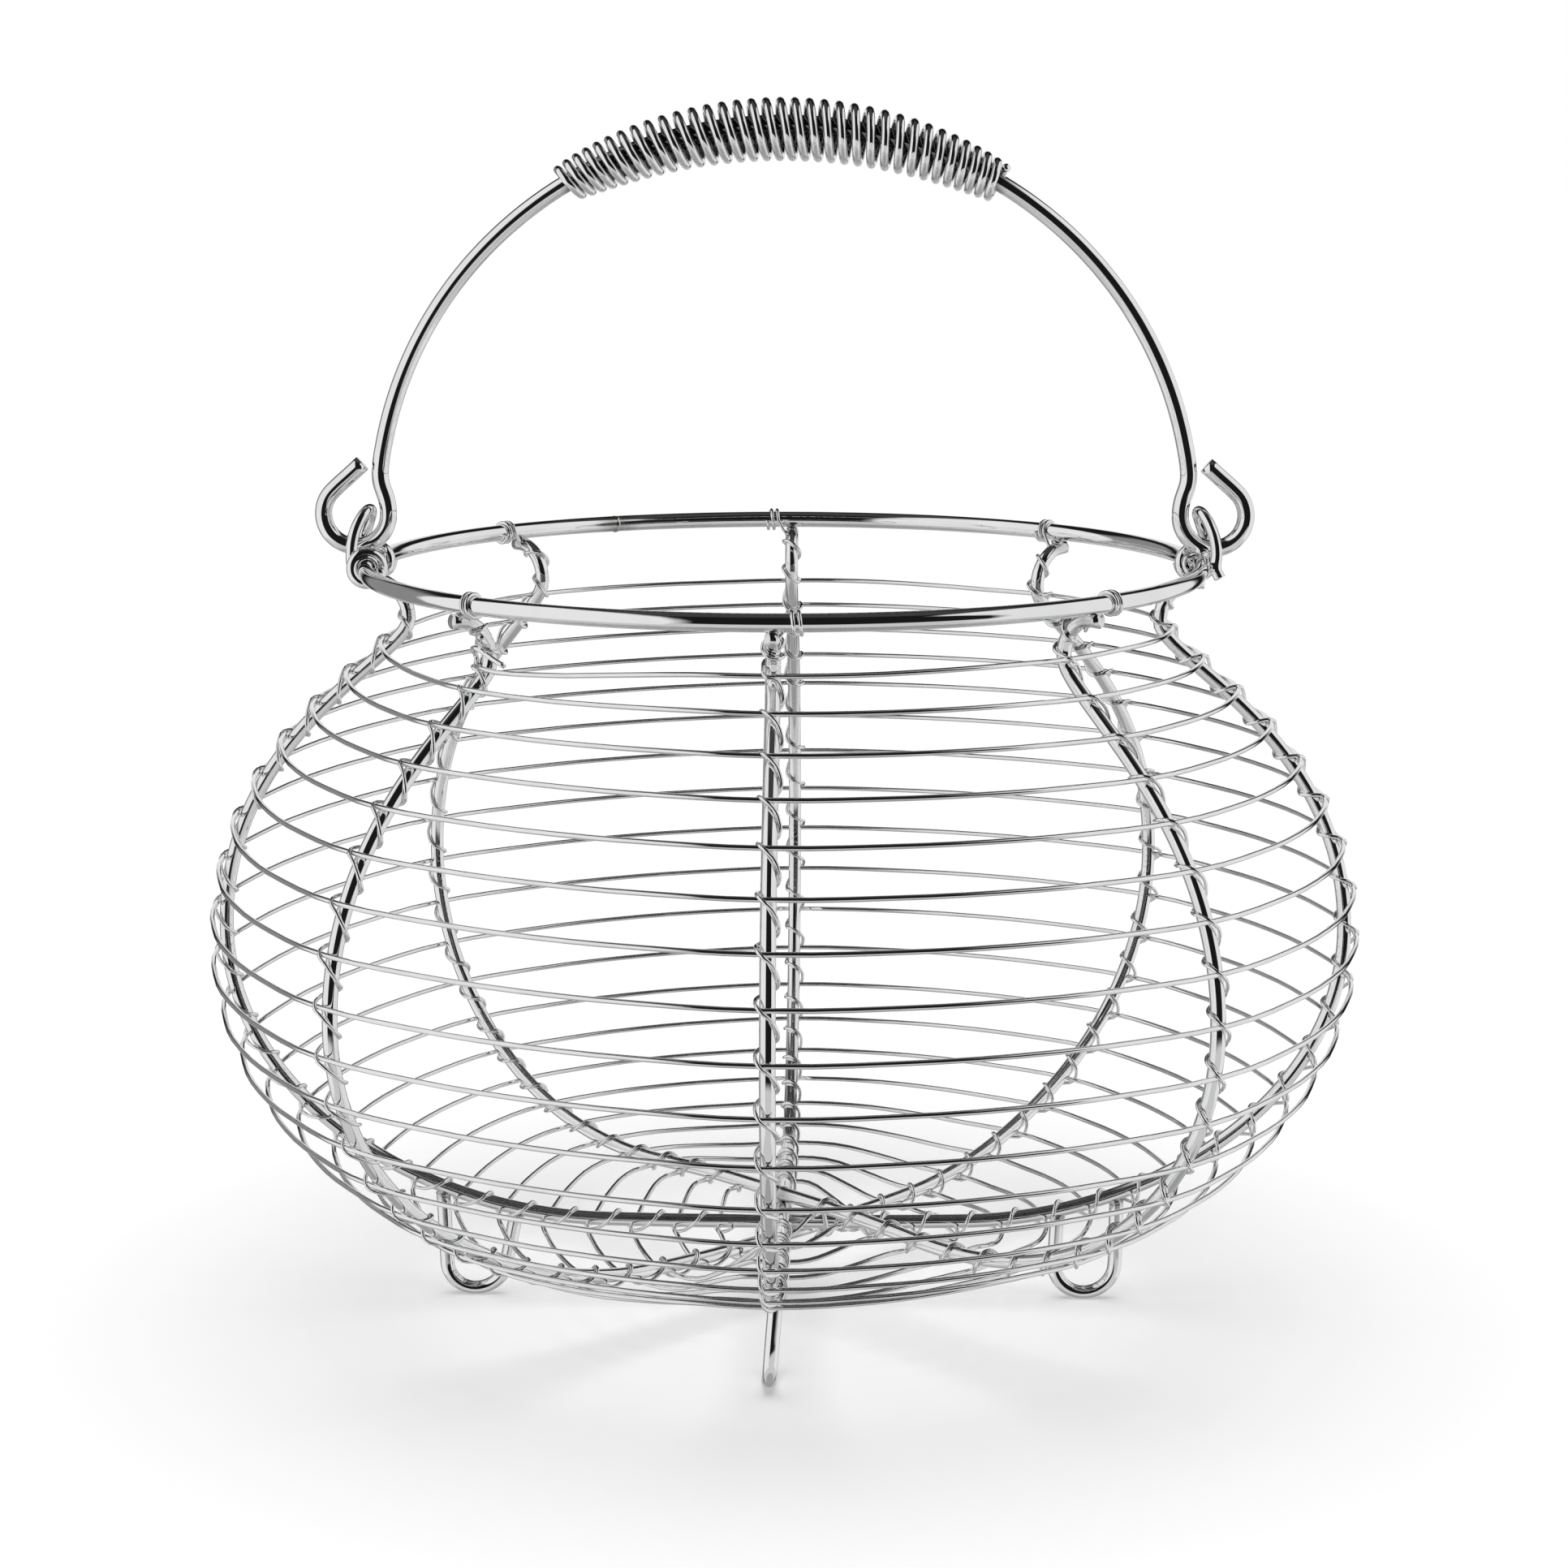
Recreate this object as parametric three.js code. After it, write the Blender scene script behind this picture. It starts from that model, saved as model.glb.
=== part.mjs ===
import * as THREE from "three";

// Round wire egg basket with a swinging bail handle.
// Sizes are millimetres. Z is up, the floor is z = 0 and the front of the basket faces -Y.

// Wire diameters
const RIM_WIRE = 3.6;
const RIB_WIRE = 3;
const WEAVE_WIRE = 1.05;
const BINDING_WIRE = 0.78;
const FOOT_WIRE = 3;
const EAR_WIRE = 2.4;
const BAIL_WIRE = 3.6;
const GRIP_WIRE = 1.85;

// Clearance left between two wires that touch in the real basket
const SEAT_GAP = 0.3;

// Basket outline on the wire centre lines: radius from the axis, height above the floor
const RIM_RADIUS = 86;
const RIM_HEIGHT = 158.6;
const NECK_RADIUS = 78.2;
const NECK_BEND = 7.5;
const NECK_PULL = 8.2;
const BELLY_RADIUS = 118.3;
const BELLY_HEIGHT = 80.7;
const BELLY_PULL = 42;
const BASE_FLAT_RADIUS = 38.7;
const BASE_HEIGHT = 18.2;
const RIB_OVERHANG = 1.2;

// The four rib wires cross at the base centre, one above the other, and level out towards the side
const CROSSING_FLAT_RADIUS = 12;
const CROSSING_END_RADIUS = 100;

// Weave: a wire wound in a falling spiral round the outside of the ribs, in four lengths that meet
// end to end under the binding of the back rib
const RIBS_ROUND = 8;
const WEAVE_START = 225;
const WEAVE_TOP_ARC = 12.4;
const WEAVE_TOP_PITCH = 9.8;
const WEAVE_BASE_PITCH = 9.3;
const WEAVE_END_RADIUS = 8.4;
const BAY_FLATNESS = 0.18;
const WEAVE_STEPS = 24;
const WEAVE_JOIN_SIDE = 90;
const WEAVE_JOIN_GAP = 0.4;
const WEAVE_LENGTHS = [
  { name: "weave_shoulder", turns: 5 },
  { name: "weave_belly", turns: 5 },
  { name: "weave_lower_side", turns: 5 },
  { name: "weave_base", turns: Infinity },
];

// Binding wires: one per rib, one turn round the rib at every turn of the weave
const BINDING_STEPS = 5;
const BINDING_TOP_ARC = 5;
const BINDING_RIM_TURNS = 2;
const BINDING_RIM_OFFSET = 3.2;
const BINDING_RIM_PITCH = 1.3;

// Feet: U loops under four of the ribs. Each stands near a radius, reaches over one or two turns of the
// weave, and is bent a little off the upright, by millimetres in X and Y at the floor
const FEET = {
  right: { radius: 65, turns: 1, bentX: -0.6, bentY: 0 },
  back: { radius: 62, turns: 1, bentX: -1.2, bentY: 0 },
  left: { radius: 65, turns: 2, bentX: -1.4, bentY: 0 },
  front: { radius: 53.5, turns: 2, bentX: -1.6, bentY: -0.9 },
};
const FOOT_BEND = 6.5;
const FOOT_FLAT = 0.25;

// Where the outer and the inner leg stand between two turns of the weave, as a share of the way inwards,
// for a foot that reaches over one turn and for one that reaches over two
const LEG_SHARES = { 1: [0.32, 0.7], 2: [0.62, 0.38] };

// Ears: loops wound on to the rim that the bail hooks through
const EAR_HALF_WIDTH = 4.6;
const EAR_RISE = 11.4;
const EAR_LEAN = 3.2;
const EAR_WRAPS = 1.5;
const EAR_WRAP_PITCH = 2.9;

// Bail: an arch of an ellipse on two short legs, each leg ending in a hooked eye
const ARCH_INSET = 1.8;
const ARCH_RISE = 80.6;
const ARCH_SPRING = 9.5;
const ARCH_LEG_ANGLE = 8;
const EYE_RADIUS = 6.75;
const EYE_OUTSIDE_RIM = 2.75;
const EYE_SWEEP = 228;
const EYE_TAIL = 8.2;

// Grip: an open coil round the top of the bail, fuller in the middle, where it hangs a little low. The tops
// of its turns lean to the left by a share of their radius
const GRIP_TURNS = 34;
const GRIP_HALF_SPAN = 44;
const GRIP_MIDDLE_DIAMETER = 13;
const GRIP_END_DIAMETER = 8.4;
const GRIP_SAG = 1.1;
const GRIP_END_CROWDING = 0.04;
const GRIP_LEAN = 0.11;
const GRIP_STEPS = 8;

const CHROME = { color: 0xd9dcdf, roughness: 0.12, metalness: 1 };
const TURN = 2 * Math.PI;
const radians = THREE.MathUtils.degToRad;

// A path through chosen points, so that each bend gets the points it needs.
class WirePath extends THREE.Curve {
  constructor(points) {
    super();
    this.points = points;
  }

  getSpacedPoints() {
    return this.points;
  }

  getPointAt(share) {
    return this.points[Math.round(share * (this.points.length - 1))];
  }

  getTangentAt(share) {
    const index = Math.round(share * (this.points.length - 1));
    const before = this.points[Math.max(index - 1, 0)];
    const after = this.points[Math.min(index + 1, this.points.length - 1)];
    const here = this.points[index];
    const arriving = here.clone().sub(before).normalize();
    const leaving = after.clone().sub(here).normalize();
    return arriving.add(leaving).normalize();
  }
}

// A closed round wire along the points, as a prism with the given number of sides.
function wire(points, diameter, sides) {
  const corners = [];
  for (let side = 0; side < sides; side += 1) {
    const angle = ((side + 0.5) / sides) * TURN;
    corners.push(new THREE.Vector2(Math.cos(angle), Math.sin(angle)).multiplyScalar(diameter / 2));
  }
  const steps = points.length - 1;
  const extrudePath = new WirePath(points);
  return new THREE.ExtrudeGeometry(new THREE.Shape(corners), { steps, extrudePath });
}

// Least gap between two stretches of one wire that are more than half a turn apart, measured on points.
function leastSelfGap(points, diameter, turnSteps) {
  const fine = [];
  for (let i = 0; i + 1 < points.length; i += 1) {
    for (let part = 0; part < 4; part += 1) fine.push(points[i].clone().lerp(points[i + 1], part / 4));
  }
  let least = Infinity;
  const apart = turnSteps * 2;
  for (let i = 0; i < fine.length; i += 1) {
    for (let j = i + apart; j < fine.length; j += 1) least = Math.min(least, fine[i].distanceTo(fine[j]));
  }
  return least - diameter;
}

// Point at a radius, an angle round the axis and a height.
function polar(radius, angle, height) {
  return new THREE.Vector3(radius * Math.cos(angle), radius * Math.sin(angle), height);
}

// Rib outline in the radius and height plane, from the cut end under the rim to the base centre
const ribTop = RIM_HEIGHT - RIM_WIRE / 2 - SEAT_GAP - RIB_WIRE / 2;
const neckHeight = ribTop - NECK_BEND;
const neckCentre = new THREE.Vector2(NECK_RADIUS + NECK_BEND, neckHeight);
const belly = new THREE.Vector2(BELLY_RADIUS, BELLY_HEIGHT);
const baseEdge = new THREE.Vector2(BASE_FLAT_RADIUS, BASE_HEIGHT);
const outline = new THREE.CurvePath();
outline.add(
  new THREE.LineCurve(
    new THREE.Vector2(RIM_RADIUS + RIB_OVERHANG, ribTop),
    new THREE.Vector2(neckCentre.x, ribTop),
  ),
);
outline.add(
  new THREE.EllipseCurve(neckCentre.x, neckCentre.y, NECK_BEND, NECK_BEND, Math.PI / 2, Math.PI, false),
);
outline.add(
  new THREE.CubicBezierCurve(
    new THREE.Vector2(NECK_RADIUS, neckHeight),
    new THREE.Vector2(NECK_RADIUS, neckHeight - NECK_PULL),
    new THREE.Vector2(BELLY_RADIUS, BELLY_HEIGHT + BELLY_PULL),
    belly,
  ),
);
outline.add(
  new THREE.EllipseCurve(
    baseEdge.x,
    belly.y,
    belly.x - baseEdge.x,
    belly.y - baseEdge.y,
    0,
    -Math.PI / 2,
    true,
  ),
);
outline.add(new THREE.LineCurve(baseEdge, new THREE.Vector2(0, BASE_HEIGHT)));
const outlineLength = outline.getLength();

// How many straight steps each stretch of the outline takes: end, neck, shoulder, lower side, base
const OUTLINE_STEPS = [1, 4, 11, 9, 6];

// Share of a rib's stacking height that it still has at a radius: 1 at the base centre, 0 on the side.
function stackShare(radius) {
  const span = CROSSING_END_RADIUS - CROSSING_FLAT_RADIUS;
  const along = THREE.MathUtils.clamp((radius - CROSSING_FLAT_RADIUS) / span, 0, 1);
  return 0.5 + 0.5 * Math.cos(Math.PI * along);
}

// Point and outward direction of the outline at an arc length from the rim end.
function outlineAt(arc) {
  const share = THREE.MathUtils.clamp(arc / outlineLength, 0, 1);
  const reach = 0.2 / outlineLength;
  const point = outline.getPoint(share);
  const before = outline.getPoint(Math.max(share - reach, 0));
  const after = outline.getPoint(Math.min(share + reach, 1));
  const along = after.clone().sub(before).normalize();
  return { radius: point.x, height: point.y, outRadius: -along.y, outHeight: along.x };
}

// Arc length at which the outline passes a radius on the lower side or the base.
function arcAtRadius(radius) {
  let low = outlineLength / 2;
  let high = outlineLength;
  for (let pass = 0; pass < 40; pass += 1) {
    const middle = (low + high) / 2;
    if (outlineAt(middle).radius > radius) low = middle;
    else high = middle;
  }
  return low;
}

// Rib wires: direction of one end in degrees, and place in the stack counted from the lowest
const stackSpacing = RIB_WIRE + SEAT_GAP;
const RIB_WIRES = [
  { name: "rib_left_right", direction: 0, place: 1 },
  { name: "rib_front_left_back_right", direction: 45, place: 0 },
  { name: "rib_front_back", direction: 90, place: 2 },
  { name: "rib_back_left_front_right", direction: 135, place: 3 },
];

// Height of a rib wire at the base centre above the mean of the stack.
function stackHeight(ribIndex) {
  return (RIB_WIRES[ribIndex % RIB_WIRES.length].place - 1.5) * stackSpacing;
}

// Point and outward direction of the rib in a direction at an arc length, with its place in the stack.
function ribAt(direction, arc) {
  const lift = stackHeight(Math.round(direction / 45));
  const lifted = (at) => new THREE.Vector2(at.radius, at.height + lift * stackShare(at.radius));
  const point = lifted(outlineAt(arc));
  const reach = Math.min(0.2, arc, outlineLength - arc);
  const along = lifted(outlineAt(arc + reach)).sub(lifted(outlineAt(arc - reach))).normalize();
  return { radius: point.x, height: point.y, outRadius: -along.y, outHeight: along.x };
}

function ribGeometry(ribIndex) {
  const halfOutline = [];
  outline.curves.forEach((curve, index) => {
    const points = curve.getPoints(OUTLINE_STEPS[index]);
    halfOutline.push(...(index === 0 ? points : points.slice(1)));
  });
  const lift = stackHeight(ribIndex);
  const angle = radians(RIB_WIRES[ribIndex].direction);
  const nearHalf = halfOutline.map((p) => polar(p.x, angle, p.y + lift * stackShare(p.x)));
  const farHalf = halfOutline.map((p) => polar(p.x, angle + Math.PI, p.y + lift * stackShare(p.x)));
  return wire([...nearHalf, ...farHalf.reverse().slice(1)], RIB_WIRE, 6);
}

// Arc length along the rib outline that the weave has reached after a number of turns.
const weaveEndArc = arcAtRadius(WEAVE_END_RADIUS);
const weaveTurns = (weaveEndArc - WEAVE_TOP_ARC) / ((WEAVE_TOP_PITCH + WEAVE_BASE_PITCH) / 2);
function weaveArc(turns) {
  const growth = (WEAVE_BASE_PITCH - WEAVE_TOP_PITCH) / (2 * weaveTurns);
  return WEAVE_TOP_ARC + WEAVE_TOP_PITCH * turns + growth * turns * turns;
}

const weaveSeat = RIB_WIRE / 2 + SEAT_GAP + WEAVE_WIRE / 2;
const bay = TURN / RIBS_ROUND;

function weavePoint(turns) {
  const at = outlineAt(weaveArc(turns));
  const angle = radians(WEAVE_START) + TURN * turns;
  const bayPlace = angle / bay;
  const rib = Math.floor(bayPlace);
  const share = bayPlace - rib;
  const flat = Math.cos(bay / 2) / Math.cos((share - 0.5) * bay);
  const climb = THREE.MathUtils.smoothstep(share, 0.2, 0.8);
  const lift = THREE.MathUtils.lerp(stackHeight(rib), stackHeight(rib + 1), climb) * stackShare(at.radius);
  const radius = (at.radius + at.outRadius * weaveSeat) * (1 - BAY_FLATNESS * (1 - flat));
  return polar(radius, angle, at.height + at.outHeight * weaveSeat + lift);
}

function weavePoints() {
  const points = [];
  const steps = Math.floor(weaveTurns * WEAVE_STEPS);
  for (let step = 0; step <= steps; step += 1) points.push(weavePoint(step / WEAVE_STEPS));
  return points;
}

// End point of a length of the weave, drawn back by half the gap at a join.
function drawnBack(end, before) {
  return end.clone().addScaledVector(before.clone().sub(end).normalize(), WEAVE_JOIN_GAP / 2);
}

// The points of the whole spiral shared out among its lengths.
function shareWeave(points) {
  const last = points.length - 1;
  let from = 0;
  let to = Math.round(firstCrossing(WEAVE_JOIN_SIDE) * WEAVE_STEPS);
  return WEAVE_LENGTHS.map(({ name, turns }) => {
    to = Math.min(to + turns * WEAVE_STEPS, last);
    const length = points.slice(from, to + 1);
    const end = length.length - 1;
    if (from > 0) length[0] = drawnBack(points[from], points[from + 1]);
    if (to < last) length[end] = drawnBack(points[to], points[to - 1]);
    from = to;
    return { name, points: length };
  });
}

// Turns of the weave at which it crosses the rib in a direction for the first time.
function firstCrossing(direction) {
  return (((direction - WEAVE_START) % 360) + 360) % 360 / 360;
}

// Arc lengths of all crossings of the weave on the rib in a direction, from the rim down.
function crossingArcs(direction) {
  const arcs = [];
  for (let turns = firstCrossing(direction); turns <= weaveTurns; turns += 1) arcs.push(weaveArc(turns));
  return arcs;
}

// Centre line radius of a wire wound in straight steps, so that the steps clear the core
function woundRadius(coreWire, woundWire, steps) {
  return (coreWire / 2 + woundWire / 2 + SEAT_GAP / 2) / Math.cos(Math.PI / steps);
}

const bindingRadius = woundRadius(RIB_WIRE, BINDING_WIRE, BINDING_STEPS);
const bindingOverWeave = RIB_WIRE / 2 + WEAVE_WIRE + BINDING_WIRE / 2 + 3 * SEAT_GAP;

// Share of the way to the next crossing at each step of a binding turn: long in front, quick behind
const BINDING_SHARES = [0, 0.38, 0.63, 0.73, 0.8];

// Point of a binding: arc length along the rib, angle round the rib from its outer side, distance from it.
function bindingPoint(direction, arc, angle, distance) {
  const at = ribAt(direction, arc);
  const ribAngle = radians(direction);
  const out = distance * Math.cos(angle);
  const radius = at.radius + at.outRadius * out;
  const sideways = new THREE.Vector3(-Math.sin(ribAngle), Math.cos(ribAngle), 0);
  const point = polar(radius, ribAngle, at.height + at.outHeight * out);
  return point.addScaledVector(sideways, distance * Math.sin(angle));
}

// Point on a turn round the rim: angle round the basket, angle round the rim from its outer side.
function rimTurnPoint(angle, around, distance) {
  const height = RIM_HEIGHT + distance * Math.sin(around);
  return polar(RIM_RADIUS + distance * Math.cos(around), angle, height);
}

function bindingPoints(direction, tiedToRim) {
  const points = [];
  const step = TURN / BINDING_STEPS;
  if (tiedToRim) {
    const distance = woundRadius(RIM_WIRE, BINDING_WIRE, BINDING_STEPS);
    const rimSteps = BINDING_RIM_TURNS * BINDING_STEPS;
    for (let i = 0; i <= rimSteps; i += 1) {
      const left = rimSteps - i;
      const offset = BINDING_RIM_OFFSET + (BINDING_RIM_PITCH * left) / BINDING_STEPS;
      points.push(rimTurnPoint(radians(direction) + offset / RIM_RADIUS, Math.PI - left * step, distance));
    }
  }
  const arcs = crossingArcs(direction);
  const leadSteps = 2 * BINDING_STEPS - 1;
  const leadEnd = arcs[0] - (1 - BINDING_SHARES[BINDING_STEPS - 1]) * WEAVE_TOP_PITCH;
  for (let i = 0; i < leadSteps; i += 1) {
    const arc = THREE.MathUtils.lerp(BINDING_TOP_ARC, leadEnd, i / (leadSteps - 1));
    points.push(bindingPoint(direction, arc, (i + 1) * step, bindingRadius));
  }
  arcs.forEach((arc, index) => {
    const last = index === arcs.length - 1;
    const reach = last ? arc - arcs[index - 1] : arcs[index + 1] - arc;
    const shares = last ? BINDING_SHARES.slice(0, 2) : BINDING_SHARES;
    shares.forEach((share, turnStep) => {
      const distance = turnStep === 0 ? bindingOverWeave : bindingRadius;
      points.push(bindingPoint(direction, arc + share * reach, turnStep * step, distance));
    });
  });
  return points;
}

// Arc lengths of the outer and the inner leg of a foot, either side of the turns of the weave nearest its place.
function legArcs(direction, foot) {
  const arcs = crossingArcs(direction);
  const wanted = arcAtRadius(foot.radius);
  const shares = LEG_SHARES[foot.turns];
  let chosen = null;
  for (let first = 1; first + foot.turns < arcs.length; first += 1) {
    const last = first + foot.turns - 1;
    const outer = THREE.MathUtils.lerp(arcs[first - 1], arcs[first], shares[0]);
    const inner = THREE.MathUtils.lerp(arcs[last], arcs[last + 1], shares[1]);
    const miss = Math.abs((outer + inner) / 2 - wanted);
    if (chosen === null || miss < chosen.miss) chosen = { outer, inner, miss };
  }
  return [chosen.outer, chosen.inner];
}

function footGeometry(direction, foot) {
  const legs = legArcs(direction, foot).map((arc) => {
    const at = ribAt(direction, arc);
    const slope = Math.abs(at.outRadius / at.outHeight);
    const drop = (RIB_WIRE / 2) * Math.hypot(1, slope) + SEAT_GAP + (FOOT_WIRE / 2) * slope;
    return { radius: at.radius, top: at.height - drop };
  });
  const angle = radians(direction);
  const middle = (legs[0].radius + legs[1].radius) / 2;
  const bendHeight = FOOT_WIRE / 2 - FOOT_FLAT + FOOT_BEND;
  const points = [polar(legs[0].radius, angle, legs[0].top)];
  const steps = 11;
  for (let i = 0; i <= steps; i += 1) {
    const turn = (Math.PI * i) / steps;
    const point = polar(middle + FOOT_BEND * Math.cos(turn), angle, bendHeight - FOOT_BEND * Math.sin(turn));
    const bent = 1 - point.z / legs[0].top;
    points.push(point.add(new THREE.Vector3(foot.bentX * bent, foot.bentY * bent, 0)));
  }
  points.push(polar(legs[1].radius, angle, legs[1].top));
  const geometry = wire(points, FOOT_WIRE, 8);
  // The underside is worn flat where the foot stands on the floor.
  const position = geometry.getAttribute("position");
  for (let i = 0; i < position.count; i += 1) position.setZ(i, Math.max(position.getZ(i), 0));
  return geometry;
}

// Ear at the side given by +1 or -1: each end is wound round the rim, the loop leans over it.
function earGeometry(side) {
  const steps = 8;
  const distance = RIM_WIRE / 2 + SEAT_GAP + EAR_WIRE / 2;
  const outer = RIM_RADIUS + distance;
  const wrapSteps = EAR_WRAPS * steps;
  const half = [];
  for (let i = 0; i < wrapSteps; i += 1) {
    const left = wrapSteps - i;
    const along = EAR_HALF_WIDTH + (EAR_WRAP_PITCH * left) / steps;
    half.push(rimTurnPoint(along / RIM_RADIUS, (-left / steps) * TURN, distance));
  }
  const loopSteps = 5;
  for (let i = 0; i < loopSteps; i += 1) {
    const turn = ((Math.PI / 2) * i) / loopSteps;
    const rise = Math.sin(turn);
    const leaned = outer - EAR_LEAN * rise * rise;
    half.push(new THREE.Vector3(leaned, EAR_HALF_WIDTH * Math.cos(turn), RIM_HEIGHT + EAR_RISE * rise));
  }
  const apex = new THREE.Vector3(outer - EAR_LEAN, 0, RIM_HEIGHT + EAR_RISE);
  const mirrored = half.map((p) => new THREE.Vector3(p.x, -p.y, p.z)).reverse();
  const points = [...half, apex, ...mirrored];
  if (side < 0) points.forEach((p) => p.set(-p.x, -p.y, p.z));
  return wire(points, EAR_WIRE, 6);
}

// The bail swings about the line through the bottoms of its eyes, which rest just over the rim
const pivotHeight = RIM_HEIGHT + RIM_WIRE / 2 + SEAT_GAP + BAIL_WIRE / 2;
const eyeHeight = pivotHeight + EYE_RADIUS;
const eyeOffset = RIM_RADIUS + EYE_OUTSIDE_RIM;
const archHalfWidth = RIM_RADIUS - ARCH_INSET;
const archHeight = RIM_HEIGHT + ARCH_SPRING;

function archPoint(angle) {
  return new THREE.Vector3(archHalfWidth * Math.cos(angle), 0, archHeight + ARCH_RISE * Math.sin(angle));
}

function bailPoints() {
  const half = [];
  const eyeSteps = 12;
  const start = Math.PI + radians(EYE_SWEEP);
  const heading = new THREE.Vector3(-Math.sin(start), 0, Math.cos(start));
  const onEye = (angle) =>
    new THREE.Vector3(eyeOffset + EYE_RADIUS * Math.cos(angle), 0, eyeHeight + EYE_RADIUS * Math.sin(angle));
  half.push(onEye(start).addScaledVector(heading, EYE_TAIL));
  for (let i = 0; i <= eyeSteps; i += 1) half.push(onEye(start - (radians(EYE_SWEEP) * i) / eyeSteps));
  const legFoot = half[half.length - 1];
  const legAngle = radians(ARCH_LEG_ANGLE);
  const legTop = archPoint(legAngle);
  const ease = (legTop.z - legFoot.z) / 2;
  const lean = (archHalfWidth / ARCH_RISE) * Math.tan(legAngle);
  const leg = new THREE.CubicBezierCurve3(
    legFoot,
    new THREE.Vector3(legFoot.x, 0, legFoot.z + ease),
    new THREE.Vector3(legTop.x + lean * ease, 0, legTop.z - ease),
    legTop,
  );
  half.push(...leg.getPoints(3).slice(1));
  const archSteps = 14;
  for (let i = 1; i <= archSteps; i += 1) {
    half.push(archPoint(THREE.MathUtils.lerp(legAngle, Math.PI / 2, i / archSteps)));
  }
  const mirrored = half.slice(0, -1).map((p) => new THREE.Vector3(-p.x, p.y, p.z));
  return [...half, ...mirrored.reverse()];
}

// Coil round the arch: slim and a little crowded at its ends, open and full in the middle.
function gripPoints() {
  const reach = Math.acos(GRIP_HALF_SPAN / archHalfWidth);
  const points = [];
  const steps = GRIP_TURNS * GRIP_STEPS;
  for (let i = 0; i <= steps; i += 1) {
    const share = i / steps;
    const eased = share - (GRIP_END_CROWDING / TURN) * Math.sin(TURN * share);
    const arch = Math.PI - reach - (Math.PI - 2 * reach) * eased;
    const outward = new THREE.Vector3(ARCH_RISE * Math.cos(arch), 0, archHalfWidth * Math.sin(arch)).normalize();
    const swell = Math.pow(Math.sin(Math.PI * share), 0.8);
    const diameter = THREE.MathUtils.lerp(GRIP_END_DIAMETER, GRIP_MIDDLE_DIAMETER, swell);
    const radius = (diameter - GRIP_WIRE) / 2;
    const turn = (TURN * i) / GRIP_STEPS;
    const along = new THREE.Vector3(outward.z, 0, -outward.x);
    const point = archPoint(arch).addScaledVector(outward, radius * Math.cos(turn) - GRIP_SAG * swell);
    point.addScaledVector(along, -GRIP_LEAN * radius * Math.cos(turn));
    points.push(point.add(new THREE.Vector3(0, -radius * Math.sin(turn), 0)));
  }
  // Both cut ends run straight on for one wire diameter.
  const runOn = (end, before) =>
    end.clone().addScaledVector(end.clone().sub(before).normalize(), GRIP_WIRE);
  points.unshift(runOn(points[0], points[1]));
  points.push(runOn(points[points.length - 1], points[points.length - 2]));
  return points;
}

function rimGeometry() {
  const profile = [];
  const sides = 8;
  for (let i = 0; i <= sides; i += 1) {
    const angle = (TURN * (i + 0.5)) / sides;
    const corner = new THREE.Vector2(Math.cos(angle), Math.sin(angle)).multiplyScalar(RIM_WIRE / 2);
    profile.push(corner.add(new THREE.Vector2(RIM_RADIUS, RIM_HEIGHT)));
  }
  return new THREE.LatheGeometry(profile, 56).rotateX(Math.PI / 2);
}

const group = new THREE.Group();
group.name = "wire_egg_basket";

function add(name, geometry) {
  const mesh = new THREE.Mesh(geometry, new THREE.MeshStandardMaterial(CHROME));
  mesh.name = name;
  group.add(mesh);
}

add("rim_hoop", rimGeometry());
RIB_WIRES.forEach((rib, index) => add(rib.name, ribGeometry(index)));

const weave = weavePoints();
for (const { name, points } of shareWeave(weave)) add(name, wire(points, WEAVE_WIRE, 3));

const SIDES = [
  { name: "right", direction: 0 },
  { name: "back_right", direction: 45 },
  { name: "back", direction: 90 },
  { name: "back_left", direction: 135 },
  { name: "left", direction: 180 },
  { name: "front_left", direction: 225 },
  { name: "front", direction: 270 },
  { name: "front_right", direction: 315 },
];
// The ears take the place of the rim turns over the left and right ribs.
for (const { name, direction } of SIDES) {
  const tiedToRim = direction % 180 !== 0;
  add(`binding_${name}`, wire(bindingPoints(direction, tiedToRim), BINDING_WIRE, 3));
  if (name in FEET) add(`foot_${name}`, footGeometry(direction, FEET[name]));
}

add("ear_right", earGeometry(1));
add("ear_left", earGeometry(-1));
add("bail", wire(bailPoints(), BAIL_WIRE, 8));

const grip = gripPoints();
add("grip_coil", wire(grip, GRIP_WIRE, 5));

console.log("least gap of the grip coil to itself, mm:", leastSelfGap(grip, GRIP_WIRE, GRIP_STEPS).toFixed(2));
console.log("least gap of the weave to itself, mm:", leastSelfGap(weave, WEAVE_WIRE, WEAVE_STEPS).toFixed(2));

export default group;
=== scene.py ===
"""Chrome wire egg basket with a swinging bail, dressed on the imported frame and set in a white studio.

The wires are laid out in millimetres and brought to metres as they are finished.
"""

import logging
import math
from bisect import bisect_right
from collections.abc import Callable, Sequence
from dataclasses import dataclass, field
from enum import Enum

import bmesh
import bpy
from mathutils import Matrix, Vector, noise


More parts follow.
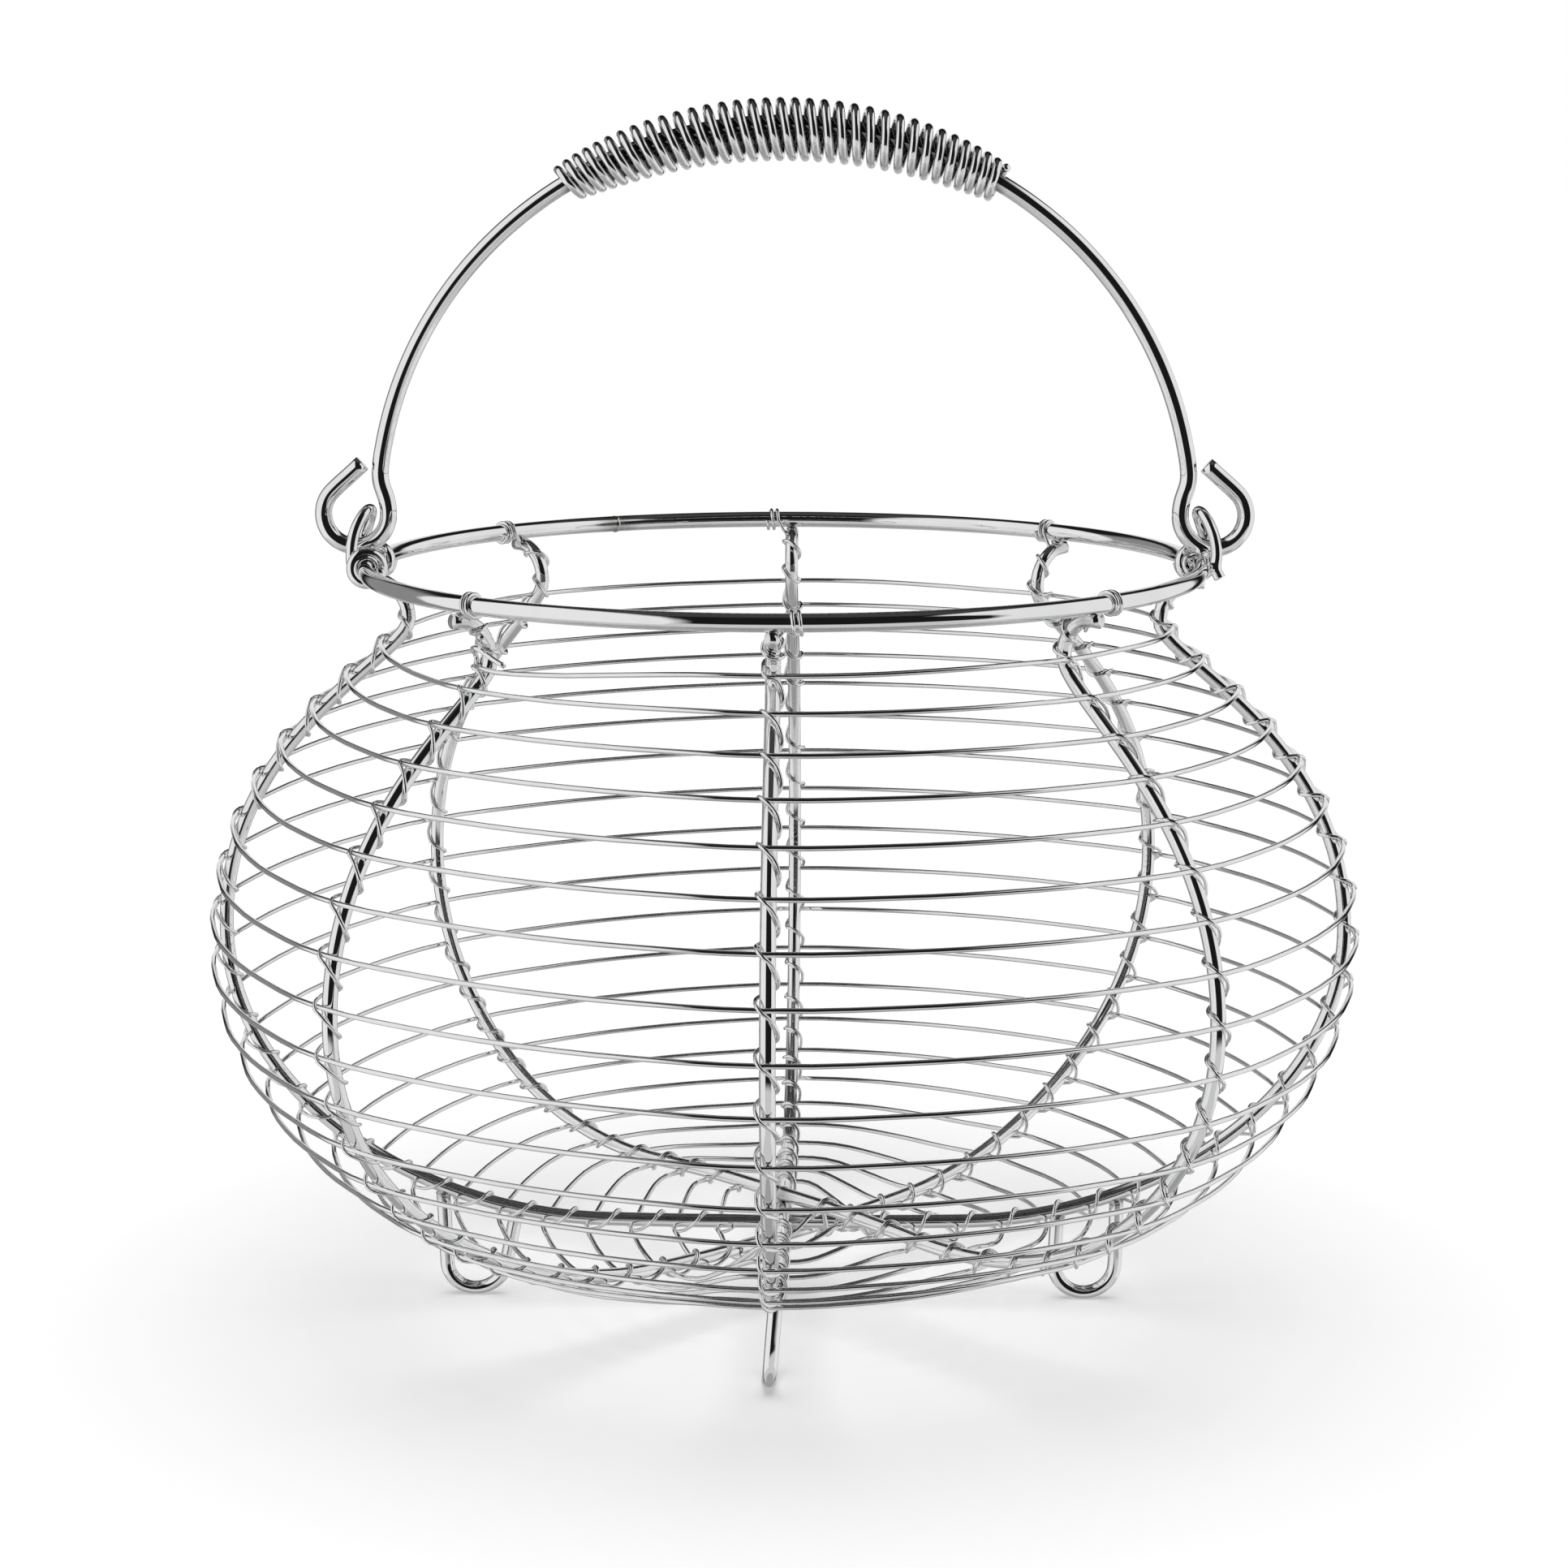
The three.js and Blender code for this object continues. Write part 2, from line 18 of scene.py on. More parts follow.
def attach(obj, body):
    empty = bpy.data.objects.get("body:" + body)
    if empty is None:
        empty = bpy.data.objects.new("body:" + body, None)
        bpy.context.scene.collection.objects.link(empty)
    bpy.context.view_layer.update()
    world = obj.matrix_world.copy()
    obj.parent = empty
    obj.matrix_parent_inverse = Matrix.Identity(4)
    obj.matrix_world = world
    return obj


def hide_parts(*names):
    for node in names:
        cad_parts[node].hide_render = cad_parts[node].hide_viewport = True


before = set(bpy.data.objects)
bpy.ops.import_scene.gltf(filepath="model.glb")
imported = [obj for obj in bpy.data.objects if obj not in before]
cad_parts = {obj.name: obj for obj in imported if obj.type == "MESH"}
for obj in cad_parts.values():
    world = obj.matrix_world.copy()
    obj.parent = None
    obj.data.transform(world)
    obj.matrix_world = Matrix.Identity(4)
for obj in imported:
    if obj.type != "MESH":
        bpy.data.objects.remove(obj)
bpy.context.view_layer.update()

LOG = logging.getLogger("egg_basket")
MM = 0.001
TURN = 2 * math.pi
# Mirrors through the two upright planes of the basket.
LEFT_FOR_RIGHT = Vector((-1.0, 1.0, 1.0))
FRONT_FOR_BACK = Vector((1.0, -1.0, 1.0))
# Places on one turn of a wire wound round another.
WINDING_STEPS = 8
# Rounding of a cut end and merging of doubles, as shares of the wire's diameter.
END_BEVEL = 0.08
MERGE_SHARE = 1e-3
# Blotches in a heat mark: how fine they are, and the least stain left between them.
STAIN_GRAIN = 0.8
FAINTEST_STAIN = 0.25
# More turns than any length of the weave has, for the length that takes the rest.
ALL_TURNS = 99


class Body(Enum):
    """The two bodies that the pieces move with."""

    BASKET = "basket"
    BAIL = "bail"


class Gauge(Enum):
    """Material slots of the record, one for each family of wire."""

    HEAVY = "heavy_wire"
    FINE = "fine_wire"
    GRIP = "grip_wire"


class Side(Enum):
    """The eight ribs as seen from above, by their direction in degrees."""

    RIGHT = 0
    BACK_RIGHT = 45
    BACK = 90
    BACK_LEFT = 135
    LEFT = 180
    FRONT_LEFT = 225
    FRONT = 270
    FRONT_RIGHT = 315

    @property
    def angle(self) -> float:
        """Direction of the rib in radians."""
        return math.radians(self.value)

    @property
    def label(self) -> str:
        """Name of the side as the nodes spell it."""
        return self.name.lower()

    @property
    def place(self) -> int:
        """Place of the rib, counted in eighths round the basket."""
        return list(Side).index(self)


class EarEnd(Enum):
    """How the front leg of an ear ends."""

    WOUND = "wound round the rim"
    CUT = "cut off below the rim"


def polar(radius: float, angle: float, height: float) -> Vector:
    """Point at a radius, an angle round the axis and a height, in millimetres."""
    return Vector((radius * math.cos(angle), radius * math.sin(angle), height))


def lerp(low: float, high: float, share: float) -> float:
    """Value a share of the way from low to high."""
    return low + (high - low) * share


def smoothstep(value: float, low: float, high: float) -> float:
    """Smooth climb from 0 at low to 1 at high."""
    share = min(max((value - low) / (high - low), 0.0), 1.0)
    return share * share * (3 - 2 * share)


def bezier(pulls: Sequence[Vector], share: float) -> Vector:
    """Point on a cubic curve.

    Args:
        pulls: its start, the two points that pull it and its end.
        share: how far along it, from 0 to 1.

    Returns:
        The point there.
    """
    rest = 1 - share
    weights = (rest**3, 3 * rest**2 * share, 3 * rest * share**2, share**3)
    return sum((pull * weight for pull, weight in zip(pulls, weights)), pulls[0] * 0.0)


def socket(node: bpy.types.Node, name: str) -> bpy.types.NodeSocket:
    """Enabled input of a node by its name.

    Args:
        node: the shader node.
        name: the label of the input.

    Returns:
        The first enabled input of that name.
    """
    return next(item for item in node.inputs if item.name == name and item.enabled)


class Nodes:
    """Short way to add and join nodes in one tree."""

    def __init__(self, tree: bpy.types.NodeTree) -> None:
        """Take the tree to work in."""
        self.tree = tree

    def add(self, kind: str, **settings: object) -> bpy.types.Node:
        """Add a node.

        Args:
            kind: Blender's name of the node type.
            settings: properties to set on the node.

        Returns:
            The new node.
        """
        node = self.tree.nodes.new(kind)
        for name, value in settings.items():
            setattr(node, name, value)
        return node

    def link(self, source: bpy.types.NodeSocket, target: bpy.types.NodeSocket) -> None:
        """Join an output to an input."""
        self.tree.links.new(source, target)

    def remap(
        self,
        value: bpy.types.NodeSocket,
        span: tuple[float, float] = (0.0, 1.0),
        into: tuple[float, float] = (0.0, 1.0),
    ) -> bpy.types.NodeSocket:
        """Smoothly remap a value.

        Args:
            value: the output to read.
            span: lowest and highest value read.
            into: values given at those two ends.

        Returns:
            The output of the Map Range node.
        """
        node = self.add("ShaderNodeMapRange", interpolation_type="SMOOTHSTEP")
        node.inputs["From Min"].default_value = span[0]
        node.inputs["From Max"].default_value = span[1]
        node.inputs["To Min"].default_value = into[0]
        node.inputs["To Max"].default_value = into[1]
        self.link(value, node.inputs["Value"])
        return node.outputs["Result"]

    def math(
        self, operation: str, first: bpy.types.NodeSocket, second: bpy.types.NodeSocket | float
    ) -> bpy.types.NodeSocket:
        """Combine two values.

        Args:
            operation: Blender's name of the operation.
            first: the first value.
            second: another output, or a number.

        Returns:
            The output of the Math node.
        """
        node = self.add("ShaderNodeMath", operation=operation)
        self.link(first, node.inputs[0])
        if isinstance(second, float):
            node.inputs[1].default_value = second
        else:
            self.link(second, node.inputs[1])
        return node.outputs[0]

    def clouds(
        self, place: bpy.types.NodeSocket, scale: bpy.types.NodeSocket, detail: float, roughness: float
    ) -> bpy.types.NodeSocket:
        """Cloudy noise over the surface.

        Args:
            place: the coordinates to read.
            scale: how fine the clouds are.
            detail: how many finer layers they have.
            roughness: how strong the finer layers are.

        Returns:
            The value of the Noise Texture node.
        """
        node = self.add("ShaderNodeTexNoise")
        node.inputs["Detail"].default_value = detail
        node.inputs["Roughness"].default_value = roughness
        self.link(place, node.inputs["Vector"])
        self.link(scale, node.inputs["Scale"])
        return node.outputs["Fac"]

    def blend(
        self,
        under: bpy.types.NodeSocket | tuple[float, float, float],
        over: tuple[float, float, float],
        mask: bpy.types.NodeSocket,
    ) -> bpy.types.NodeSocket:
        """Lay a tint over a colour.

        Args:
            under: the colour below, as an output or a plain tint.
            over: the tint that shows where the mask is 1.
            mask: where it shows.

        Returns:
            The colour of the Mix node.
        """
        node = self.add("ShaderNodeMix", data_type="RGBA")
        if isinstance(under, tuple):
            socket(node, "A").default_value = (*under, 1.0)
        else:
            self.link(under, socket(node, "A"))
        socket(node, "B").default_value = (*over, 1.0)
        self.link(mask, socket(node, "Factor"))
        return next(item for item in node.outputs if item.enabled)

    def attribute(self, name: str) -> bpy.types.NodeSocket:
        """Value of a mesh attribute."""
        return self.add("ShaderNodeAttribute", attribute_name=name).outputs["Fac"]

    def seen_directly(self) -> bpy.types.NodeSocket:
        """Whether the camera sees the surface straight or through glass."""
        path = self.add("ShaderNodeLightPath")
        return self.math("MAXIMUM", path.outputs["Is Camera Ray"], path.outputs["Is Transmission Ray"])


def plating_group() -> bpy.types.NodeTree:
    """Node group for the look of plating over drawn wire.

    Returns:
        A group that takes a haze scale and a line scale, and gives a mask for a clouded tint, a mask for
        scuffs and a height.
    """
    name = "plating_over_drawn_wire"
    if name in bpy.data.node_groups:
        return bpy.data.node_groups[name]
    tree = bpy.data.node_groups.new(name, "ShaderNodeTree")
    for label in ("Haze Scale", "Line Scale"):
        tree.interface.new_socket(label, in_out="INPUT", socket_type="NodeSocketFloat")
    for label in ("Haze", "Scuffs", "Height"):
        tree.interface.new_socket(label, in_out="OUTPUT", socket_type="NodeSocketFloat")
    nodes = Nodes(tree)
    given = nodes.add("NodeGroupInput")
    result = nodes.add("NodeGroupOutput")
    place = nodes.add("ShaderNodeTexCoord").outputs["Object"]
    haze = nodes.clouds(place, given.outputs["Haze Scale"], detail=3.0, roughness=0.5)
    scuffs = nodes.clouds(place, given.outputs["Line Scale"], detail=5.0, roughness=0.7)
    lines = nodes.clouds(place, given.outputs["Line Scale"], detail=2.0, roughness=0.5)
    nodes.link(nodes.remap(haze, span=(0.35, 0.7)), result.inputs["Haze"])
    nodes.link(nodes.remap(scuffs, span=(0.55, 0.75)), result.inputs["Scuffs"])
    nodes.link(lines, result.inputs["Height"])
    return tree


@dataclass(frozen=True)
class ChromeFinish:
    """Bright chrome plate on one family of wire."""

    label: str
    tint: tuple[float, float, float]
    haze_tint: tuple[float, float, float]
    weld_tint: tuple[float, float, float]
    roughness: float
    scuffed_roughness: float
    haze_scale: float
    line_scale: float
    bump: float
    bump_height: float = 0.0002
    weld_roughness: float = 0.25
    cut_tint: tuple[float, float, float] = (0.86, 0.86, 0.85)
    cut_roughness: float = 0.6
    cut_metal: float = 0.15
    # Painted shade: the dark tint for chrome under and inside the coil, where the strands hide the bright
    # room.
    painted_shade_tint: tuple[float, float, float] = (0.2, 0.2, 0.205)

    def material(self) -> bpy.types.Material:
        """Build the material, or give the one already built.

        Returns:
            The material, with its variation from Object coordinates, its weld marks and cut ends, and
            painted shade under and inside the coil, from mesh attributes.
        """
        if self.label in bpy.data.materials:
            return bpy.data.materials[self.label]
        made = bpy.data.materials.new(self.label)
        made.use_nodes = True
        nodes = Nodes(made.node_tree)
        shader = made.node_tree.nodes["Principled BSDF"]
        plating = nodes.add("ShaderNodeGroup", node_tree=plating_group())
        plating.inputs["Haze Scale"].default_value = self.haze_scale
        plating.inputs["Line Scale"].default_value = self.line_scale
        weld = nodes.attribute("weld")
        cut = nodes.attribute("cut")
        recess = nodes.attribute("recess")
        colour = nodes.blend(self.tint, self.haze_tint, plating.outputs["Haze"])
        # The last tint is painted shade, dark where the coil hides the bright room from the chrome.
        for tint, mask in ((self.weld_tint, weld), (self.cut_tint, cut), (self.painted_shade_tint, recess)):
            colour = nodes.blend(colour, tint, mask)
        nodes.link(colour, shader.inputs["Base Color"])
        nodes.link(nodes.remap(cut, into=(1.0, self.cut_metal)), shader.inputs["Metallic"])
        worn = nodes.remap(plating.outputs["Scuffs"], into=(self.roughness, self.scuffed_roughness))
        welded = nodes.math("MULTIPLY", weld, self.weld_roughness)
        sawn = nodes.math("MULTIPLY", cut, self.cut_roughness)
        matte = nodes.math("MAXIMUM", welded, sawn)
        nodes.link(nodes.math("MAXIMUM", worn, matte), shader.inputs["Roughness"])
        bump = nodes.add("ShaderNodeBump")
        bump.inputs["Strength"].default_value = self.bump
        bump.inputs["Distance"].default_value = self.bump_height
        nodes.link(plating.outputs["Height"], bump.inputs["Height"])
        nodes.link(bump.outputs["Normal"], shader.inputs["Normal"])
        return made


HEAVY_CHROME = ChromeFinish(
    label="chrome_on_heavy_wire",
    tint=(0.97, 0.972, 0.975),
    haze_tint=(0.92, 0.922, 0.926),
    weld_tint=(0.42, 0.40, 0.38),
    roughness=0.03,
    scuffed_roughness=0.09,
    haze_scale=90.0,
    line_scale=700.0,
    bump=0.015,
)
FINE_CHROME = ChromeFinish(
    label="chrome_on_fine_wire",
    tint=(0.96, 0.962, 0.965),
    haze_tint=(0.9, 0.902, 0.906),
    weld_tint=(0.45, 0.43, 0.41),
    roughness=0.04,
    scuffed_roughness=0.1,
    haze_scale=140.0,
    line_scale=1500.0,
    bump=0.012,
)
GRIP_CHROME = ChromeFinish(
    label="chrome_on_grip_wire",
    tint=(0.96, 0.962, 0.966),
    haze_tint=(0.9, 0.902, 0.906),
    weld_tint=(0.42, 0.40, 0.38),
    roughness=0.03,
    scuffed_roughness=0.09,
    haze_scale=120.0,
    line_scale=1100.0,
    bump=0.012,
)


@dataclass
class Weld:
    """A small bead of weld metal and the heat mark round it, in millimetres."""

    place: Vector
    bead: Vector
    reach: float
    grain: float = 0.9
    unevenness: float = 0.22
    drift: tuple[float, float, float] = (3.1, 1.7, 0.0)

    def distance(self, spot: Vector) -> float:
        """Distance of a spot from the bead, as a share of the heat mark's reach."""
        return ((spot - self.place).length - self.bead.length * 0.5) / self.reach

    def add_bead(self, mesh: bmesh.types.BMesh, seed: int) -> None:
        """Add the bead to a mesh, with an uneven skin.

        Args:
            mesh: the mesh that carries the bead.
            seed: number that sets the unevenness.
        """
        size = Matrix.Diagonal((*self.bead, 1.0))
        made = bmesh.ops.create_icosphere(mesh, subdivisions=3, radius=1.0, matrix=size)
        for vert in made["verts"]:
            rough = noise.noise(vert.co * self.grain + Vector(self.drift) * seed)
            vert.co = vert.co * (1 + self.unevenness * rough) + self.place


def wire_mesh(
    points: list[Vector], diameter: float, sides: int, steps: int, closed: bool = False
) -> bpy.types.Mesh:
    """Sweep a round wire along a smooth path.

    Args:
        points: places that the centre line passes through, in millimetres.
        diameter: wire diameter in millimetres.
        sides: sides of the wire's section, an even number.
        steps: straight steps between two places.
        closed: whether the path joins its own start.

    Returns:
        A mesh in millimetres.
    """
    curve = bpy.data.curves.new("wire_path", "CURVE")
    curve.dimensions = "3D"
    curve.twist_mode = "MINIMUM"
    curve.bevel_depth = diameter / 2
    curve.bevel_resolution = sides // 2 - 2
    curve.use_fill_caps = not closed
    curve.resolution_u = steps
    spline = curve.splines.new("BEZIER")
    spline.bezier_points.add(len(points) - 1)
    for knot, point in zip(spline.bezier_points, points):
        knot.co = point
        knot.handle_left_type = "AUTO"
        knot.handle_right_type = "AUTO"
    spline.use_cyclic_u = closed
    carrier = bpy.data.objects.new("wire_path", curve)
    bpy.context.scene.collection.objects.link(carrier)
    bpy.context.view_layer.update()
    made = bpy.data.meshes.new_from_object(carrier.evaluated_get(bpy.context.evaluated_depsgraph_get()))
    bpy.data.objects.remove(carrier)
    bpy.data.curves.remove(curve)
    return made


def is_cap(face: bmesh.types.BMFace) -> bool:
    """Whether a face is a flat end of a wire, the only kind with more than four corners."""
    return len(face.verts) > 4


def round_ends(mesh: bmesh.types.BMesh, diameter: float) -> None:
    """Merge the doubles of a swept wire and round its cut ends.

    Args:
        mesh: the swept wire in millimetres.
        diameter: wire diameter in millimetres.
    """
    bmesh.ops.remove_doubles(mesh, verts=mesh.verts, dist=diameter * MERGE_SHARE)
    rims = {edge for face in mesh.faces if is_cap(face) for edge in face.edges}
    if rims:
        bmesh.ops.bevel(
            mesh,
            geom=list(rims),
            offset=diameter * END_BEVEL,
            affect="EDGES",
            segments=3,
            profile=0.5,
            material=-1,
            clamp_overlap=True,
        )


def add_welds(mesh: bmesh.types.BMesh, welds: Sequence[Weld], floor: float | None) -> None:
    """Add a wire's welds, wear it flat at the floor, and mark its cut ends and the heat of the welds.

    Args:
        mesh: the wire in millimetres, with its ends rounded.
        welds: weld beads carried by the wire.
        floor: height below which the wire is worn flat, if it is.
    """
    sawn = mesh.verts.layers.float.new("cut")
    mark = mesh.verts.layers.float.new("weld")
    ends = {vert for face in mesh.faces if is_cap(face) for vert in face.verts}
    for vert in ends:
        vert[sawn] = 1.0
    for count, weld in enumerate(welds):
        weld.add_bead(mesh, count)
    for vert in mesh.verts:
        if floor is not None and vert.co.z < floor:
            vert.co.z = floor
        near = min((weld.distance(vert.co) for weld in welds), default=1.0)
        stain = 0.5 + 0.5 * noise.noise(vert.co * STAIN_GRAIN)
        vert[mark] = (1 - smoothstep(near, 0.0, 1.0)) * lerp(FAINTEST_STAIN, 1.0, stain)


def finish_wire(
    name: str,
    rough: bpy.types.Mesh,
    diameter: float,
    welds: Sequence[Weld] = (),
    floor: float | None = None,
) -> bpy.types.Object:
    """Round a wire's cut ends, add its welds and bring it to metres.

    Args:
        name: name of the piece.
        rough: swept mesh in millimetres.
        diameter: wire diameter in millimetres.
        welds: weld beads carried by this wire.
        floor: height below which the wire is worn flat, if it is.

    Returns:
        The object, linked to the scene.
    """
    mesh = bmesh.new()
    mesh.from_mesh(rough)
    bpy.data.meshes.remove(rough)
    round_ends(mesh, diameter)
    add_welds(mesh, welds, floor)
    for face in mesh.faces:
        face.smooth = not is_cap(face)
    bmesh.ops.recalc_face_normals(mesh, faces=mesh.faces)
    bmesh.ops.scale(mesh, vec=Vector((MM, MM, MM)), verts=mesh.verts)
    made = bpy.data.meshes.new(name)
    mesh.to_mesh(made)
    mesh.free()
    piece = bpy.data.objects.new(name, made)
    bpy.context.scene.collection.objects.link(piece)
    return piece


def paint_coil_shade(piece: bpy.types.Object, inside: Callable[[Vector, Vector], float]) -> None:
    """Paint shade on the chrome where the coil hides the bail and where the coil's strands face the bail.

    Args:
        piece: the finished object.
        inside: how much painted shade a spot with a normal takes, from 0 to 1; the spot is in millimetres.
    """
    # This attribute carries painted shade, which the chrome's material turns dark.
    mark = piece.data.attributes.new("recess", "FLOAT", "POINT")
    for vert, value in zip(piece.data.vertices, mark.data):
        value.value = inside(vert.co / MM, vert.normal)


def hand_over(piece: bpy.types.Object, node: str, body: Body, finish: ChromeFinish) -> None:
    """Dress a piece, set it on its body in place of its node, and report it.

    Args:
        piece: the finished object.
        node: name of the node that it stands for.
        body: the body that it moves with.
        finish: its finish.
    """
    piece.data.materials.clear()
    piece.data.materials.append(finish.material())
    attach(piece, body.value)
    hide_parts(node)
    triangles = sum(len(face.vertices) - 2 for face in piece.data.polygons)
    LOG.info("%s: %d triangles on %s", piece.name, triangles, body.value)


@dataclass
class Outline:
    """Outline of a rib by its radius and height, from its cut end under the rim to the base centre."""

    rim_radius: float = 86.0
    rim_height: float = 158.6
    rim_wire: float = 3.6
    rib_wire: float = 3.0
    overhang: float = 1.2
    seat_gap: float = 0.3
    weld_sink: float = 0.15
    neck_radius: float = 78.2
    neck_bend: float = 7.5
    neck_pull: float = 8.2
    belly_radius: float = 118.3
    belly_height: float = 80.7
    belly_pull: float = 42.0
    base_flat_radius: float = 38.7
    base_height: float = 18.2
    crossing_flat_radius: float = 12.0
    crossing_end_radius: float = 100.0
    stack_spacing: float = 3.05
    stack_places: tuple[int, int, int, int] = (1, 0, 2, 3)
    neck_steps: int = 24
    side_steps: int = 160
    base_steps: int = 40
    tangent_reach: float = 0.4
    rows: list[Vector] = field(init=False)
    arcs: list[float] = field(init=False)

    def __post_init__(self) -> None:
        """Lay out the outline as closely spaced rows with their arc lengths."""
        top = self.rim_height - self.rim_wire / 2 - self.rib_wire / 2 + self.weld_sink
        neck = self.rim_height - self.rim_wire / 2 - self.seat_gap - self.rib_wire / 2 - self.neck_bend
        rows = [Vector((self.rim_radius + self.overhang, top))]
        for step in range(self.neck_steps + 1):
            angle = math.pi / 2 * (1 + step / self.neck_steps)
            out = self.neck_radius + self.neck_bend * (1 + math.cos(angle))
            rows.append(Vector((out, neck + (top - neck) * math.sin(angle))))
        pulls = [
            Vector((self.neck_radius, neck)),
            Vector((self.neck_radius, neck - self.neck_pull)),
            Vector((self.belly_radius, self.belly_height + self.belly_pull)),
            Vector((self.belly_radius, self.belly_height)),
        ]
        for step in range(1, self.side_steps + 1):
            rows.append(bezier(pulls, step / self.side_steps))
        for step in range(1, self.side_steps + 1):
            angle = math.pi / 2 * step / self.side_steps
            out = lerp(self.base_flat_radius, self.belly_radius, math.cos(angle))
            rows.append(Vector((out, lerp(self.belly_height, self.base_height, math.sin(angle)))))
        for step in range(1, self.base_steps + 1):
            rows.append(Vector((self.base_flat_radius * (1 - step / self.base_steps), self.base_height)))
        self.rows = rows
        self.arcs = [0.0]
        for before, after in zip(rows, rows[1:]):
            self.arcs.append(self.arcs[-1] + (after - before).length)

    @property
    def length(self) -> float:
        """Arc length from the rim end to the base centre."""
        return self.arcs[-1]

    def point(self, arc: float) -> Vector:
        """Place on the outline.

        Args:
            arc: arc length from the rim end.

        Returns:
            Its radius and height.
        """
        index = min(max(bisect_right(self.arcs, arc) - 1, 0), len(self.rows) - 2)
        share = (arc - self.arcs[index]) / (self.arcs[index + 1] - self.arcs[index])
        return self.rows[index].lerp(self.rows[index + 1], min(max(share, 0.0), 1.0))

    def stack_share(self, radius: float) -> float:
        """How much of its stacking height a rib still has.

        Args:
            radius: distance from the axis.

        Returns:
            A share from 1 at the base centre to 0 at the belly.
        """
        span = self.crossing_end_radius - self.crossing_flat_radius
        along = min(max((radius - self.crossing_flat_radius) / span, 0.0), 1.0)
        return 0.5 + 0.5 * math.cos(math.pi * along)

    def stack_height(self, place: int) -> float:
        """Height at the base centre of the rib counted in eighths round the basket."""
        count = len(self.stack_places)
        return (self.stack_places[place % count] - (count - 1) / 2) * self.stack_spacing

    def on_rib(self, side: Side, arc: float) -> tuple[Vector, Vector]:
        """Point on a rib and the way out of the basket there.

        Args:
            side: the rib.
            arc: arc length from the rim end.

        Returns:
            The radius and height of the rib, and its outward direction in the same plane.
        """
        lift = self.stack_height(side.place)

        def lifted(at: float) -> Vector:
            """Outline point with the rib's stacking height."""
            spot = self.point(at)
            return Vector((spot.x, spot.y + lift * self.stack_share(spot.x)))

        after = lifted(min(arc + self.tangent_reach, self.length))
        along = (after - lifted(max(arc - self.tangent_reach, 0.0))).normalized()
        return lifted(arc), Vector((-along.y, along.x))

    def beside_rib(self, side: Side, arc: float, across: float, out: float) -> Vector:
        """Place beside a rib.

        Args:
            side: the rib.
            arc: arc length from the rim end.
            across: distance to the right of the rib, seen from outside.
            out: distance out from the rib's centre line.

        Returns:
            The place in millimetres.
        """
        spot, way = self.on_rib(side, arc)
        sideways = Vector((-math.sin(side.angle), math.cos(side.angle), 0.0))
        return polar(spot.x + way.x * out, side.angle, spot.y + way.y * out) + sideways * across

    def round_rim(self, angle: float, around: float, distance: float) -> Vector:
        """Place on a turn of wire round the rim.

        Args:
            angle: direction from the basket's axis.
            around: angle round the rim's wire from its outer side.
            distance: distance from the rim's centre line.

        Returns:
            The place in millimetres.
        """
        out = self.rim_radius + distance * math.cos(around)
        return polar(out, angle, self.rim_height + distance * math.sin(around))

    def arc_at_radius(self, radius: float) -> float:
        """Find where the lower side or the base passes a radius, by halving.

        Args:
            radius: distance from the axis.

        Returns:
            The arc length there.
        """
        halvings = 40
        low, high = self.length / 2, self.length
        for _ in range(halvings):
            middle = (low + high) / 2
            if self.point(middle).x > radius:
                low = middle
            else:
                high = middle
        return low


@dataclass
class Skeleton:
    """Rim hoop and the four bent rib wires."""

    outline: Outline
    rim_steps: int = 96
    rim_section: tuple[int, int] = (24, 4)
    rib_step: float = 3.0
    rib_section: tuple[int, int] = (16, 2)
    seam_direction: float = 118.0
    seam_bead: tuple[float, float, float] = (1.9, 1.9, 1.8)
    seam_reach: float = 5.0
    seat_inset: float = 1.3
    seat_drop: float = 0.25
    seat_bead: tuple[float, float, float] = (1.25, 1.25, 0.75)
    seat_reach: float = 3.5
    crossing_bead: tuple[float, float, float] = (1.75, 1.75, 1.5)
    crossing_reach: float = 5.0
    finish: ChromeFinish = HEAVY_CHROME
    ribs: tuple[tuple[str, Side], ...] = (
        ("rib_left_right", Side.RIGHT),
        ("rib_front_left_back_right", Side.BACK_RIGHT),
        ("rib_front_back", Side.BACK),
        ("rib_back_left_front_right", Side.BACK_LEFT),
    )

    def build(self) -> None:
        """Make the rim and the ribs and hand them over."""
        self.build_rim()
        for name, side in self.ribs:
            self.build_rib(name, side)

    def build_rim(self) -> None:
        """Make the rim hoop, with a butt weld at the back."""
        shape = self.outline
        turns = [TURN * step / self.rim_steps for step in range(self.rim_steps)]
        points = [polar(shape.rim_radius, turn, shape.rim_height) for turn in turns]
        rough = wire_mesh(points, shape.rim_wire, *self.rim_section, closed=True)
        join = polar(shape.rim_radius, math.radians(self.seam_direction), shape.rim_height)
        seam = Weld(join, Vector(self.seam_bead), self.seam_reach)
        piece = finish_wire("rim", rough, shape.rim_wire, [seam])
        hand_over(piece, "rim_hoop", Body.BASKET, self.finish)

    def build_rib(self, name: str, side: Side) -> None:
        """Make one rib wire from rim to rim.

        Args:
            name: node of the rib.
            side: direction of one of its ends.
        """
        shape = self.outline
        steps = round(shape.length / self.rib_step)
        near = []
        far = []
        for step in range(steps + 1):
            spot, _ = shape.on_rib(side, shape.length * step / steps)
            near.append(polar(spot.x, side.angle, spot.y))
            far.append(polar(spot.x, side.angle + math.pi, spot.y))
        rough = wire_mesh(near + far[-2::-1], shape.rib_wire, *self.rib_section)
        seat = shape.rim_height - shape.rim_wire / 2 - self.seat_drop
        welds = []
        for turn in (0.0, math.pi):
            under_rim = polar(shape.rim_radius - self.seat_inset, side.angle + turn, seat)
            welds.append(Weld(under_rim, Vector(self.seat_bead), self.seat_reach))
        crossing = Vector((0.0, 0.0, near[-1].z))
        welds.append(Weld(crossing, Vector(self.crossing_bead), self.crossing_reach))
        piece = finish_wire(name.replace("rib_", "rib_wire_"), rough, shape.rib_wire, welds)
        hand_over(piece, name, Body.BASKET, self.finish)


